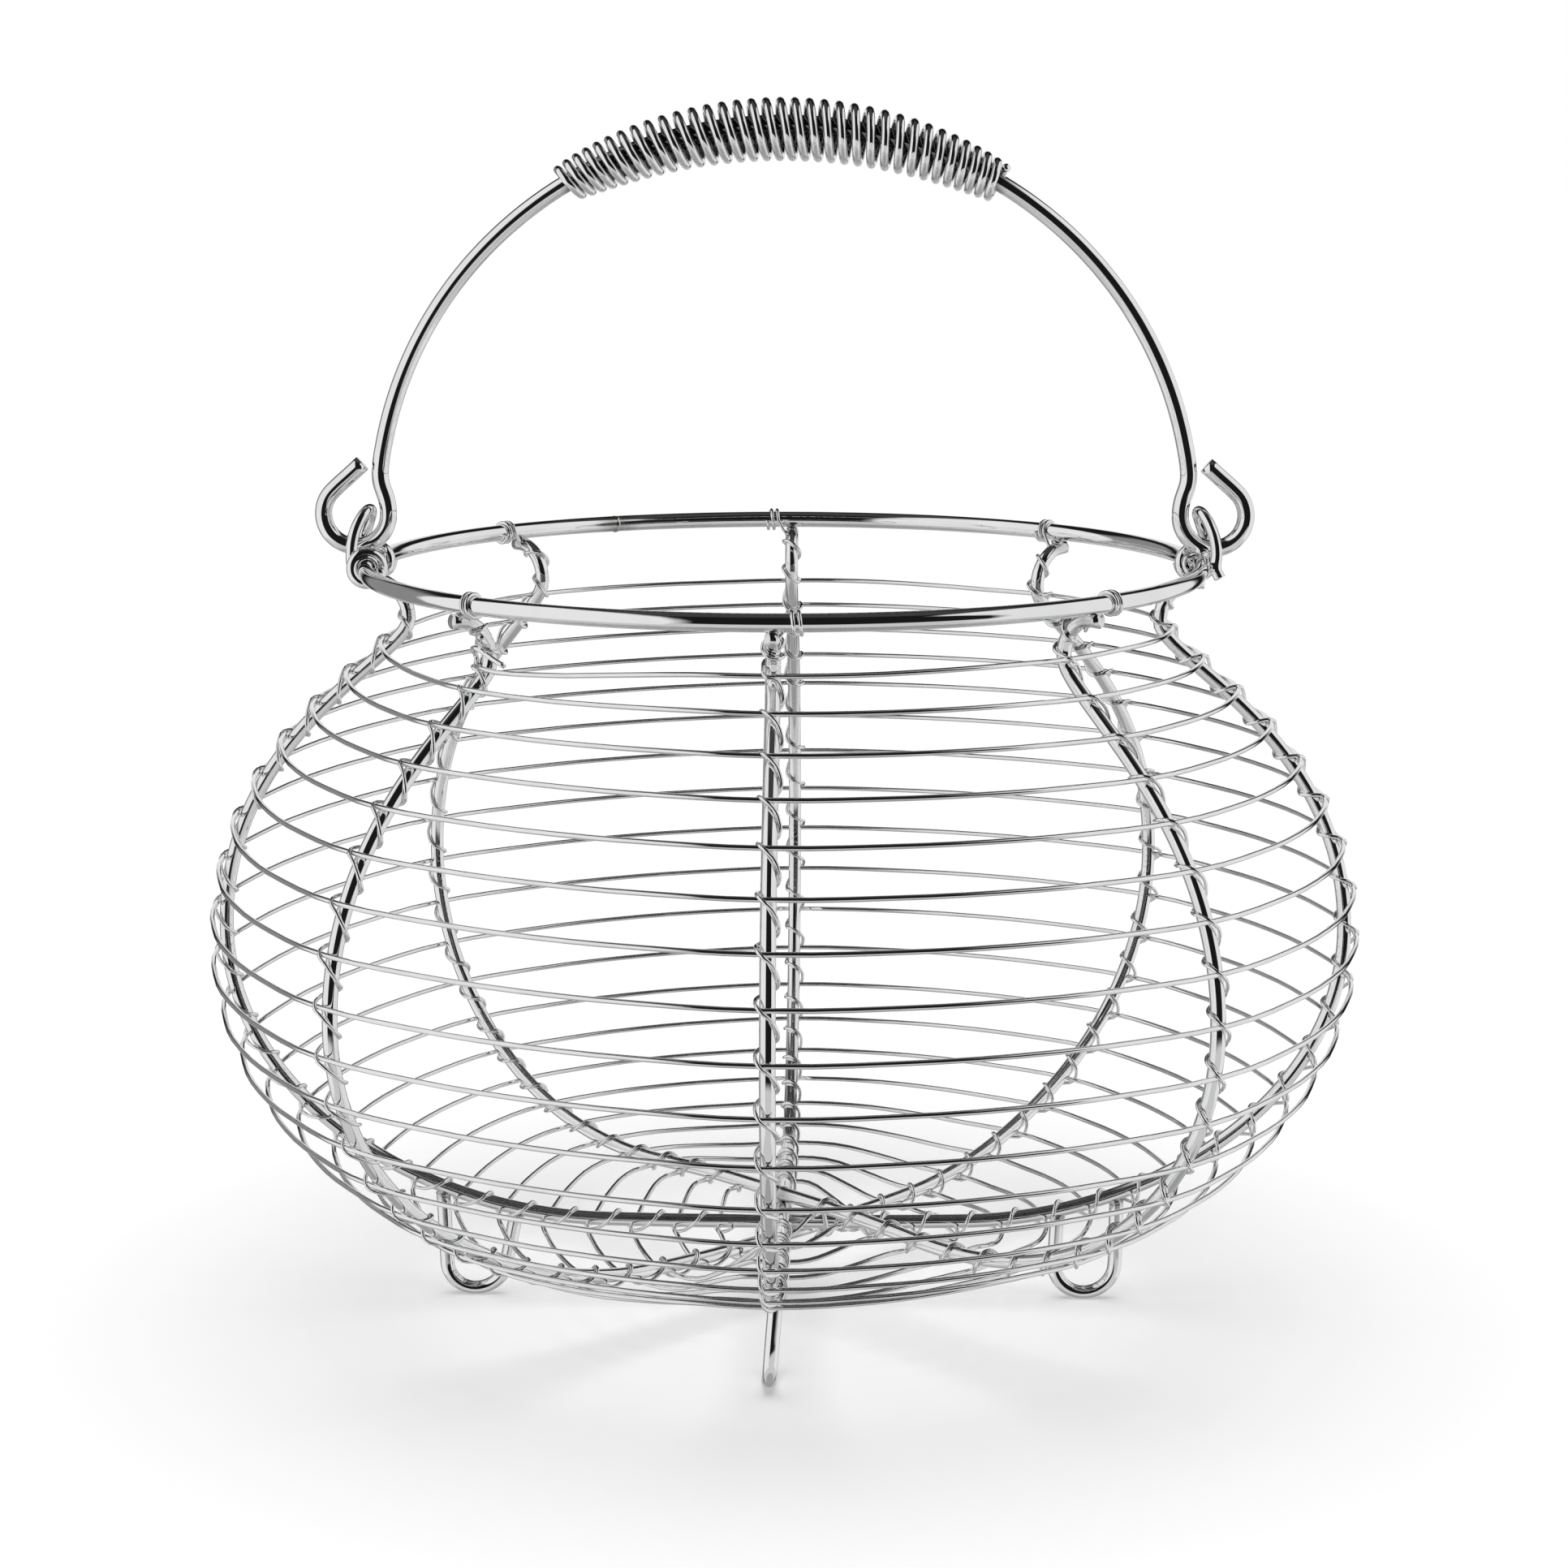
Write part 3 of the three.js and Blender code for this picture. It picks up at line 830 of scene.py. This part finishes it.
@dataclass
class Weave:
    """The thin wire wound down round the ribs in four lengths, with its hooked start."""

    outline: Outline
    wire: float = 1.05
    start: Side = Side.FRONT_LEFT
    top_arc: float = 12.4
    top_pitch: float = 9.8
    base_pitch: float = 9.3
    end_radius: float = 8.4
    start_dip: float = 4.2
    dip_turns: float = 0.12
    bay_flatness: float = 0.18
    bay_climb: tuple[float, float] = (0.2, 0.8)
    join_gap: float = 0.003
    steps: int = 32
    section: tuple[int, int] = (10, 3)
    touch: float = 0.03
    join_side: Side = Side.BACK
    lengths: tuple[tuple[str, int], ...] = (
        ("weave_shoulder", 5),
        ("weave_belly", 5),
        ("weave_lower_side", 5),
        ("weave_base", ALL_TURNS),
    )
    finish: ChromeFinish = FINE_CHROME

    @property
    def turns(self) -> float:
        """Number of turns from the start to the base centre."""
        end = self.outline.arc_at_radius(self.end_radius)
        return (end - self.top_arc) / ((self.top_pitch + self.base_pitch) / 2)

    def arc(self, turns: float) -> float:
        """How far down the ribs the weave has come; its start is tied low.

        Args:
            turns: turns from the start.

        Returns:
            The arc length along the outline.
        """
        growth = (self.base_pitch - self.top_pitch) / (2 * self.turns)
        dip = self.start_dip * (1 - smoothstep(turns, 0.0, self.dip_turns))
        return self.top_arc + dip + self.top_pitch * turns + growth * turns * turns

    def crossings(self, side: Side) -> list[float]:
        """Find where the weave crosses one rib.

        Args:
            side: the rib.

        Returns:
            The arc lengths of the crossings, from the rim down.
        """
        turns = (side.place - self.start.place) % len(Side) / len(Side)
        found = []
        while turns <= self.turns:
            found.append(self.arc(turns))
            turns += 1
        return found

    def point(self, turns: float) -> Vector:
        """Place of the weave.

        Args:
            turns: turns from the start.

        Returns:
            The place in millimetres.
        """
        shape = self.outline
        arc = self.arc(turns)
        spot = shape.point(arc)
        along = shape.point(arc + shape.tangent_reach) - shape.point(arc - shape.tangent_reach)
        along.normalize()
        seat = shape.rib_wire / 2 + self.wire / 2 + self.touch
        angle = self.start.angle + TURN * turns
        bay = TURN / len(Side)
        rib = math.floor(angle / bay)
        share = angle / bay - rib
        flat = math.cos(bay / 2) / math.cos((share - 0.5) * bay)
        climb = smoothstep(share, *self.bay_climb)
        lift = lerp(shape.stack_height(rib), shape.stack_height(rib + 1), climb) * shape.stack_share(spot.x)
        radius = (spot.x - along.y * seat) * (1 - self.bay_flatness * (1 - flat))
        return polar(radius, angle, spot.y + along.x * seat + lift)

    def hook(self) -> list[Vector]:
        """Cut and hooked start of the weave.

        Returns:
            The places along it, from its tip round the rib; each is given by its arc length, how far it is
            across the rib and how far out from it.
        """
        first = self.arc(0.0)
        places = [
            (first - 2.2, 7.6, 2.7),
            (first - 4.4, 4.6, 2.9),
            (first - 6.3, 1.8, 2.9),
            (first - 6.9, -0.4, 2.7),
            (first - 5.9, -2.0, 2.2),
            (first - 3.6, -2.3, 1.5),
            (first - 1.4, -1.9, 1.6),
            (first - 0.2, 0.4, 1.9),
        ]
        return [self.outline.beside_rib(self.start, *place) for place in places]

    def build(self) -> None:
        """Make the lengths of the weave, which meet under the binding of one rib, and hand them over."""
        last = math.floor(self.turns * self.steps)
        start = 0
        end = (self.join_side.place - self.start.place) % len(Side) * self.steps // len(Side)
        for node, turns in self.lengths:
            end = min(end + turns * self.steps, last)
            points = [self.point(step / self.steps) for step in range(start, end + 1)]
            if start == 0:
                points = self.hook() + points[1:]
            else:
                points[0] = points[0].lerp(points[1], self.join_gap)
            rough = wire_mesh(points, self.wire, *self.section)
            piece = finish_wire(node.replace("weave_", "woven_"), rough, self.wire)
            hand_over(piece, node, Body.BASKET, self.finish)
            start = end


@dataclass
class Bindings:
    """The eight fine wires that tie the weave to the ribs and the ribs to the rim."""

    outline: Outline
    weave: Weave
    wire: float = 0.78
    touch: float = 0.03
    top_arc: float = 5.0
    rim_turns: int = 2
    rim_offset: float = 3.2
    rim_pitch: float = 1.3
    phase: float = math.radians(-28)
    shares: tuple[float, ...] = (0.0, 0.18, 0.37, 0.54, 0.63, 0.7, 0.76, 0.83)
    lead_steps: int = 14
    last_places: int = 3
    slack: float = 0.35
    section: tuple[int, int] = (8, 3)
    finish: ChromeFinish = FINE_CHROME

    def point(self, side: Side, arc: float, around: float, distance: float) -> Vector:
        """Place of a binding.

        Args:
            side: the rib that it winds round.
            arc: arc length along the rib.
            around: angle round the rib from its outer side.
            distance: distance from the rib's centre line.

        Returns:
            The place in millimetres.
        """
        across = distance * math.sin(around)
        return self.outline.beside_rib(side, arc, across, distance * math.cos(around))

    def rim_points(self, side: Side) -> list[Vector]:
        """Turns of a binding round the rim, beside the top of its rib.

        Args:
            side: the rib.

        Returns:
            The places along them.
        """
        shape = self.outline
        distance = shape.rim_wire / 2 + self.wire / 2 + self.touch
        points = []
        for left in range(self.rim_turns * WINDING_STEPS, -1, -1):
            around = math.pi - left * TURN / WINDING_STEPS
            beside = self.rim_offset + self.rim_pitch * left / WINDING_STEPS
            points.append(shape.round_rim(side.angle + beside / shape.rim_radius, around, distance))
        return points

    def path(self, side: Side) -> list[Vector]:
        """Whole path of one binding, from the rim to the base.

        Args:
            side: the rib that it winds round.

        Returns:
            The places along it.
        """
        close = self.outline.rib_wire / 2 + self.wire / 2 + self.touch
        over = close + self.weave.wire
        points = [] if side in (Side.LEFT, Side.RIGHT) else self.rim_points(side)
        arcs = self.weave.crossings(side)
        lead_end = arcs[0] - (1 - self.shares[-1]) * self.weave.top_pitch
        for step in range(self.lead_steps + 1):
            arc = lerp(self.top_arc, lead_end, step / self.lead_steps)
            around = self.phase + (step + 1) * TURN / WINDING_STEPS
            points.append(self.point(side, arc, around, close))
        for index, arc in enumerate(arcs):
            last = index == len(arcs) - 1
            reach = arc - arcs[index - 1] if last else arcs[index + 1] - arc
            for step, share in enumerate(self.shares[: self.last_places] if last else self.shares):
                slack = self.slack if step in (1, WINDING_STEPS - 1) else 0.0
                distance = over if step == 0 else close + slack
                around = self.phase + step * TURN / WINDING_STEPS
                points.append(self.point(side, arc + share * reach, around, distance))
        return points

    def build(self) -> None:
        """Make the eight bindings and hand them over."""
        for side in Side:
            rough = wire_mesh(self.path(side), self.wire, *self.section)
            piece = finish_wire(f"tie_{side.label}", rough, self.wire)
            hand_over(piece, f"binding_{side.label}", Body.BASKET, self.finish)


@dataclass(frozen=True)
class Foot:
    """Where a foot stands, how many turns of the weave it reaches over, and how it is bent at the floor."""

    side: Side
    radius: float
    turns: int
    bent_x: float
    bent_y: float = 0.0
    bend: float = 6.5


@dataclass
class Feet:
    """The four U loops that the basket stands on."""

    outline: Outline
    weave: Weave
    wire: float = 3.0
    flat: float = 0.25
    overlap: float = 0.25
    leg_steps: int = 4
    bend_steps: int = 12
    section: tuple[int, int] = (16, 4)
    bead: tuple[float, float, float] = (1.55, 1.55, 0.7)
    bead_drop: float = 0.2
    bead_reach: float = 1.4
    one_turn_shares: tuple[float, float] = (0.32, 0.7)
    two_turn_shares: tuple[float, float] = (0.62, 0.38)
    feet: tuple[Foot, ...] = (
        Foot(Side.RIGHT, 65.0, 1, -0.6),
        Foot(Side.BACK, 62.0, 1, -1.2),
        Foot(Side.LEFT, 65.0, 2, -1.4),
        Foot(Side.FRONT, 53.5, 2, -1.6, -1.5, 7.9),
    )
    finish: ChromeFinish = HEAVY_CHROME

    def legs(self, foot: Foot) -> list[Vector]:
        """Find where the legs of a foot meet its rib.

        Args:
            foot: its place and bend.

        Returns:
            Radius and height of the tops of its two legs, the outer one first.
        """
        arcs = self.weave.crossings(foot.side)
        wanted = self.outline.arc_at_radius(foot.radius)
        shares = self.one_turn_shares if foot.turns == 1 else self.two_turn_shares
        pairs = []
        for first in range(1, len(arcs) - foot.turns):
            last = first + foot.turns - 1
            outer = lerp(arcs[first - 1], arcs[first], shares[0])
            pairs.append((outer, lerp(arcs[last], arcs[last + 1], shares[1])))
        best = min(pairs, key=lambda pair: abs(sum(pair) / 2 - wanted))
        return [self.outline.on_rib(foot.side, arc)[0] for arc in best]

    def build(self) -> None:
        """Make the four feet and hand them over."""
        for foot in self.feet:
            self.build_foot(foot)

    def build_foot(self, foot: Foot) -> None:
        """Make one foot.

        Args:
            foot: its place and bend.
        """
        outer, inner = self.legs(foot)
        label = foot.side.label
        middle = (outer.x + inner.x) / 2
        bend = foot.bend
        low = self.wire / 2 - self.flat + bend
        sink = self.outline.rib_wire / 2 - self.overlap
        rows = []
        for step in range(self.leg_steps):
            share = step / self.leg_steps
            rows.append(Vector((lerp(outer.x, middle + bend, share), lerp(outer.y - sink, low, share))))
        for step in range(self.bend_steps + 1):
            turn = math.pi * step / self.bend_steps
            rows.append(Vector((middle + bend * math.cos(turn), low - bend * math.sin(turn))))
        for step in range(1, self.leg_steps + 1):
            share = step / self.leg_steps
            rows.append(Vector((lerp(middle - bend, inner.x, share), lerp(low, inner.y - sink, share))))
        points = []
        for row in rows:
            bent = max(1 - row.y / (outer.y - sink), 0.0)
            upright = polar(row.x, foot.side.angle, row.y)
            points.append(upright + Vector((foot.bent_x, foot.bent_y, 0.0)) * bent)
        rough = wire_mesh(points, self.wire, *self.section)
        welds = []
        for top in (outer, inner):
            height = top.y - self.outline.rib_wire / 2 - self.bead_drop
            seat = polar(top.x, foot.side.angle, height)
            welds.append(Weld(seat, Vector(self.bead), self.bead_reach))
        piece = finish_wire(f"foot_loop_{label}", rough, self.wire, welds, floor=0.0)
        hand_over(piece, f"foot_{label}", Body.BASKET, self.finish)


@dataclass
class Ears:
    """The two loops on the rim that the bail hooks through."""

    outline: Outline
    wire: float = 2.4
    half_width: float = 4.6
    rise: float = 11.4
    lean: float = 3.2
    wraps: float = 1.5
    wrap_pitch: float = 2.9
    twist: float = 0.17
    touch: float = 0.05
    loop_steps: int = 6
    section: tuple[int, int] = (12, 4)
    cut_places: tuple[tuple[float, float], ...] = ((0.9, 1.9), (0.4, 0.9))
    bead: tuple[float, float, float] = (1.1, 1.5, 0.9)
    bead_inset: float = 1.4
    bead_shift: float = 1.2
    bead_reach: float = 3.0
    finish: ChromeFinish = HEAVY_CHROME

    @property
    def distance(self) -> float:
        """Distance of the ear's wire from the rim's centre line."""
        return self.outline.rim_wire / 2 + self.wire / 2 + self.touch

    def half(self, end: EarEnd, twist: float) -> list[Vector]:
        """One half of the right ear on the +Y side, from its end up to just before the top.

        Args:
            end: how this half ends.
            twist: how far it is twisted in towards the axis.

        Returns:
            The places along it.
        """
        shape = self.outline
        outer = shape.rim_radius + self.distance
        points = []
        if end is EarEnd.WOUND:
            steps = round(self.wraps * WINDING_STEPS)
            for left in range(steps, 0, -1):
                beside = self.half_width + self.wrap_pitch * left / WINDING_STEPS
                around = -left / WINDING_STEPS * TURN
                points.append(shape.round_rim(beside / shape.rim_radius, around, self.distance))
        else:
            for out, down in self.cut_places:
                points.append(Vector((outer + out, self.half_width, shape.rim_height - down)))
        for step in range(self.loop_steps):
            turn = math.pi / 2 * step / self.loop_steps
            up = math.sin(turn)
            across = self.half_width * math.cos(turn)
            inwards = self.lean * up * up + 2 * twist * across * up
            points.append(Vector((outer - inwards, across, shape.rim_height + self.rise * up)))
        return points

    def build(self) -> None:
        """Make both ears and hand them over."""
        shape = self.outline
        inner = shape.rim_radius - self.bead_inset
        outer = shape.rim_radius + self.distance
        for side, front_end in ((Side.RIGHT, EarEnd.CUT), (Side.LEFT, EarEnd.WOUND)):
            apex = Vector((outer - self.lean, 0.0, shape.rim_height + self.rise))
            weld = Vector((inner, self.bead_shift, shape.rim_height + self.bead_shift))
            back = self.half(EarEnd.WOUND, self.twist)
            front = [spot * FRONT_FOR_BACK for spot in self.half(front_end, -self.twist)]
            points = back + [apex] + front[::-1]
            if side is Side.LEFT:
                points = [spot * LEFT_FOR_RIGHT for spot in points]
                weld = weld * LEFT_FOR_RIGHT
            rough = wire_mesh(points, self.wire, *self.section)
            welds = [Weld(weld, Vector(self.bead), self.bead_reach)]
            piece = finish_wire(f"ear_loop_{side.label}", rough, self.wire, welds)
            hand_over(piece, f"ear_{side.label}", Body.BASKET, self.finish)


@dataclass
class Bail:
    """The swinging handle wire and the coil round its top."""

    outline: Outline
    wire: float = 3.6
    arch_inset: float = 1.8
    arch_rise: float = 80.6
    arch_spring: float = 9.5
    leg_angle: float = 8.0
    eye_radius: float = 6.75
    eye_outside_rim: float = 2.75
    eye_sweep: float = 228.0
    eye_tail: float = 8.2
    grip_wire: float = 1.85
    grip_turns: int = 34
    grip_half_span: float = 44.0
    grip_middle_diameter: float = 13.0
    grip_end_diameter: float = 8.4
    grip_sag: float = 1.1
    grip_end_crowding: float = 0.113
    grip_end_gather: float = 0.087
    grip_lean: float = 0.11
    grip_fullness: float = 0.8
    # Painted shade: the soft edge of the dark band on the bail at the coil's ends, and how far a coil strand
    # must face the bail before it is shaded.
    shade_edge: float = 1.0
    shade_facing: tuple[float, float] = (0.3, 1.8)
    touch: float = 0.1
    eye_steps: int = 16
    leg_steps: int = 5
    arch_steps: int = 24
    coil_steps: int = 12
    section: tuple[int, int] = (20, 3)
    grip_section: tuple[int, int] = (12, 3)
    finish: ChromeFinish = HEAVY_CHROME
    grip_finish: ChromeFinish = GRIP_CHROME

    @property
    def half_width(self) -> float:
        """Half the width of the arch."""
        return self.outline.rim_radius - self.arch_inset

    def arch(self, angle: float) -> Vector:
        """Place on the arch."""
        height = self.outline.rim_height + self.arch_spring
        return Vector((self.half_width * math.cos(angle), 0.0, height + self.arch_rise * math.sin(angle)))

    def half(self) -> list[Vector]:
        """Right half of the bail.

        Returns:
            The places along it, from its cut end round the eye and up to the top.
        """
        shape = self.outline
        pivot = shape.rim_height + shape.rim_wire / 2 + self.touch + self.wire / 2
        centre = Vector((shape.rim_radius + self.eye_outside_rim, 0.0, pivot + self.eye_radius))
        start = math.pi + math.radians(self.eye_sweep)
        heading = Vector((-math.sin(start), 0.0, math.cos(start)))

        def eye(angle: float) -> Vector:
            """Place on the eye."""
            return centre + self.eye_radius * Vector((math.cos(angle), 0.0, math.sin(angle)))

        points = [eye(start) + heading * self.eye_tail, eye(start) + heading * self.eye_tail * 0.5]
        for step in range(self.eye_steps + 1):
            points.append(eye(start - math.radians(self.eye_sweep) * step / self.eye_steps))
        foot = points[-1]
        leg_angle = math.radians(self.leg_angle)
        top = self.arch(leg_angle)
        ease = (top.z - foot.z) / 2
        lean = self.half_width / self.arch_rise * math.tan(leg_angle)
        pulls = (foot, foot + Vector((0.0, 0.0, ease)), top - Vector((-lean * ease, 0.0, ease)), top)
        for step in range(1, self.leg_steps + 1):
            points.append(bezier(pulls, step / self.leg_steps))
        for step in range(1, self.arch_steps + 1):
            points.append(self.arch(lerp(leg_angle, math.pi / 2, step / self.arch_steps)))
        return points

    def grip_path(self) -> list[Vector]:
        """Path of the coil, with the tops of its turns leaning left.

        Returns:
            The places along it, from its left end to its right end.
        """
        reach = math.acos(self.grip_half_span / self.half_width)
        points = []
        steps = self.grip_turns * self.coil_steps
        for step in range(steps + 1):
            share = step / steps
            eased = share - self.grip_end_crowding / TURN * math.sin(TURN * share)
            eased -= self.grip_end_gather / (2 * TURN) * math.sin(2 * TURN * share)
            angle = math.pi - reach - (math.pi - 2 * reach) * eased
            steep = Vector((self.arch_rise * math.cos(angle), 0.0, self.half_width * math.sin(angle)))
            outward = steep.normalized()
            along = Vector((outward.z, 0.0, -outward.x))
            swell = max(math.sin(math.pi * share), 0.0) ** self.grip_fullness
            radius = (lerp(self.grip_end_diameter, self.grip_middle_diameter, swell) - self.grip_wire) / 2
            turn = TURN * step / self.coil_steps
            spot = self.arch(angle) + outward * (radius * math.cos(turn) - self.grip_sag * swell)
            spot -= along * (self.grip_lean * radius * math.cos(turn))
            points.append(spot - Vector((0.0, radius * math.sin(turn), 0.0)))
        return points

    def under_coil(self, spot: Vector, normal: Vector) -> float:
        """How much painted shade a spot of the bail takes for lying under the coil."""
        end = self.grip_half_span
        return 1 - smoothstep(abs(spot.x), end - self.shade_edge, end + self.shade_edge)

    def inner_side(self, spot: Vector, normal: Vector) -> float:
        """How much painted shade a spot of the coil takes for facing the bail."""
        return smoothstep(-spot.y * normal.y, *self.shade_facing)

    def build(self) -> None:
        """Make the bail and its coil and hand them over."""
        right = self.half()
        left = [spot * LEFT_FOR_RIGHT for spot in right[-2::-1]]
        rough = wire_mesh(right + left, self.wire, *self.section)
        piece = finish_wire("handle", rough, self.wire)
        # Painted shade: the bail turns dark under the coil, where the strands hide the bright room.
        paint_coil_shade(piece, self.under_coil)
        hand_over(piece, "bail", Body.BAIL, self.finish)
        turns = wire_mesh(self.grip_path(), self.grip_wire, *self.grip_section)
        coil = finish_wire("grip", turns, self.grip_wire)
        # Painted shade on the coil's strands that face the bail.
        paint_coil_shade(coil, self.inner_side)
        hand_over(coil, "grip_coil", Body.BAIL, self.grip_finish)


@dataclass(frozen=True)
class Patch:
    """A bright part of the studio as the chrome mirrors it.

    Each edge names an axis of the mirrored direction, the value at which the patch starts to show, and the
    value at which it shows in full.
    """

    strength: float
    edges: tuple[tuple[str, float, float], ...]


LEFT_PANEL = Patch(1.0, (("X", -0.36, -0.48), ("Y", 0.42, 0.3), ("Z", 0.99, 0.93), ("Z", -0.7, -0.58)))
RIGHT_PANEL = Patch(0.97, (("X", 0.5, 0.6), ("Y", -0.56, -0.44), ("Y", 0.86, 0.78), ("Z", -0.7, -0.58)))
LEFT_WALL = Patch(0.3, (("X", -0.4, -0.5), ("Y", 0.88, 0.8), ("Z", -0.7, -0.58), ("Z", 0.6, 0.4)))
BACKDROP = Patch(1.0, (("Y", 0.88, 0.95), ("Z", 0.85, 0.7), ("Z", -0.34, -0.24)))
CEILING = Patch(0.06, (("Y", -0.5, -0.2), ("Z", 0.72, 0.9)))
TABLE_FRONT = Patch(0.72, (("Z", -0.26, -0.34), ("Z", -0.95, -0.8), ("Y", 0.5, 0.3)))
TABLE_BACK = Patch(0.64, (("Z", -0.26, -0.34), ("Y", 0.45, 0.6), ("X", -0.58, -0.42), ("X", 0.58, 0.42)))
TABLE_BELOW = Patch(0.42, (("Z", -0.6, -0.78),))


@dataclass
class Studio:
    """White sweep, soft overhead light and the camera.

    The camera's place is in millimetres; the floor, the lamp and the reach of the view are in metres.
    """

    distance: float = 722.0
    eye_height: float = 248.2
    pitch: float = 0.186
    yaw: float = 0.024
    sideways: float = 0.15
    focal_pixels: float = 4309.0
    image_pixels: float = 1932.0
    sensor_width: float = 36.0
    nearest_seen: float = 0.01
    farthest_seen: float = 50.0
    floor_half_width: float = 12.0
    floor_tint: float = 0.8
    floor_roughness: float = 0.9
    floor_glow: float = 0.26
    fill_strength: float = 0.25
    lamp_strength: float = 2.36
    lamp_spread: float = 60.0
    lamp_height: float = 2.0
    room_dark: float = 0.012
    patches: tuple[Patch, ...] = (
        LEFT_PANEL,
        RIGHT_PANEL,
        LEFT_WALL,
        BACKDROP,
        CEILING,
        TABLE_FRONT,
        TABLE_BACK,
        TABLE_BELOW,
    )

    def build(self) -> None:
        """Set up the camera, the floor, the lamp and the surroundings."""
        self.build_camera()
        self.build_floor()
        self.build_lamp()
        self.build_surroundings()
        bpy.context.scene.view_settings.view_transform = "Standard"

    def build_camera(self) -> None:
        """Place the camera at the photograph's viewing angle."""
        data = bpy.data.cameras.new("camera")
        data.sensor_width = self.sensor_width
        data.lens = self.focal_pixels / self.image_pixels * self.sensor_width
        data.clip_start = self.nearest_seen
        data.clip_end = self.farthest_seen
        camera = bpy.data.objects.new("camera", data)
        bpy.context.scene.collection.objects.link(camera)
        right = Vector((math.cos(self.yaw), math.sin(self.yaw), 0.0))
        back = Vector((math.sin(self.yaw), -math.cos(self.yaw), 0.0))
        up = Vector((0.0, 0.0, self.eye_height))
        camera.location = (back * self.distance + right * self.sideways + up) * MM
        camera.rotation_euler = (math.pi / 2 - self.pitch, 0.0, self.yaw)
        bpy.context.scene.camera = camera

    def build_floor(self) -> None:
        """Lay a wide white floor that keeps the shadow; the chrome mirrors the room's table instead."""
        mesh = bmesh.new()
        bmesh.ops.create_grid(mesh, x_segments=1, y_segments=1, size=self.floor_half_width)
        made = bpy.data.meshes.new("floor")
        mesh.to_mesh(made)
        mesh.free()
        floor = bpy.data.objects.new("floor", made)
        floor.visible_glossy = False
        bpy.context.scene.collection.objects.link(floor)
        paint = bpy.data.materials.new("white_sweep")
        paint.use_nodes = True
        made.materials.append(paint)
        nodes = Nodes(paint.node_tree)
        shader = paint.node_tree.nodes["Principled BSDF"]
        shader.inputs["Base Color"].default_value = (self.floor_tint,) * 3 + (1.0,)
        shader.inputs["Roughness"].default_value = self.floor_roughness
        shader.inputs["Specular IOR Level"].default_value = 0.0
        glow = nodes.add("ShaderNodeEmission")
        shown = nodes.math("MULTIPLY", nodes.seen_directly(), self.floor_glow)
        nodes.link(shown, glow.inputs["Strength"])
        both = nodes.add("ShaderNodeAddShader")
        nodes.link(shader.outputs[0], both.inputs[0])
        nodes.link(glow.outputs[0], both.inputs[1])
        nodes.link(both.outputs[0], paint.node_tree.nodes["Material Output"].inputs["Surface"])

    def build_lamp(self) -> None:
        """Light the floor evenly from straight above, as softly as a wide overhead bank."""
        data = bpy.data.lights.new("overhead", "SUN")
        data.angle = math.radians(self.lamp_spread)
        data.energy = self.lamp_strength
        lamp = bpy.data.objects.new("overhead", data)
        lamp.location = (0.0, 0.0, self.lamp_height)
        lamp.visible_glossy = False
        bpy.context.scene.collection.objects.link(lamp)

    def room(self, nodes: Nodes) -> bpy.types.NodeSocket:
        """Brightness of the unlit room and its bright panels, by direction.

        Args:
            nodes: the nodes of the world.

        Returns:
            The strength of the mirrored background.
        """
        place = nodes.add("ShaderNodeTexCoord")
        way = nodes.add("ShaderNodeSeparateXYZ")
        nodes.link(place.outputs["Generated"], way.inputs[0])
        room = nodes.add("ShaderNodeValue").outputs[0]
        room.default_value = self.room_dark
        for patch in self.patches:
            shown = nodes.add("ShaderNodeValue").outputs[0]
            shown.default_value = patch.strength
            for axis, start, full in patch.edges:
                edge = nodes.remap(way.outputs[axis], span=(start, full))
                shown = nodes.math("MULTIPLY", edge, shown)
            room = nodes.math("MAXIMUM", room, shown)
        return room

    def build_surroundings(self) -> None:
        """White surroundings, with the room showing only in reflections."""
        world = bpy.data.worlds.new("white_room")
        bpy.context.scene.world = world
        world.use_nodes = True
        tree = world.node_tree
        nodes = Nodes(tree)
        mirrors = nodes.add("ShaderNodeLightPath").outputs["Is Glossy Ray"]
        white = tree.nodes["Background"]
        white.inputs["Color"].default_value = (1.0, 1.0, 1.0, 1.0)
        white.inputs["Strength"].default_value = 1.0
        mirrored = nodes.add("ShaderNodeBackground")
        nodes.link(self.room(nodes), mirrored.inputs["Strength"])
        fill = nodes.add("ShaderNodeBackground")
        fill.inputs["Strength"].default_value = self.fill_strength
        direct = nodes.add("ShaderNodeMixShader")
        nodes.link(nodes.seen_directly(), direct.inputs[0])
        nodes.link(fill.outputs[0], direct.inputs[1])
        nodes.link(white.outputs[0], direct.inputs[2])
        whole = nodes.add("ShaderNodeMixShader")
        nodes.link(mirrors, whole.inputs[0])
        nodes.link(direct.outputs[0], whole.inputs[1])
        nodes.link(mirrored.outputs[0], whole.inputs[2])
        nodes.link(whole.outputs[0], tree.nodes["World Output"].inputs["Surface"])


def main() -> None:
    """Build the studio and every sub-assembly in order."""
    logging.basicConfig(level=logging.INFO, format="%(message)s")
    Studio().build()
    outline = Outline()
    weave = Weave(outline)
    Skeleton(outline).build()
    weave.build()
    Bindings(outline, weave).build()
    Feet(outline, weave).build()
    Ears(outline).build()
    Bail(outline).build()


if __name__ == "__main__":
    main()
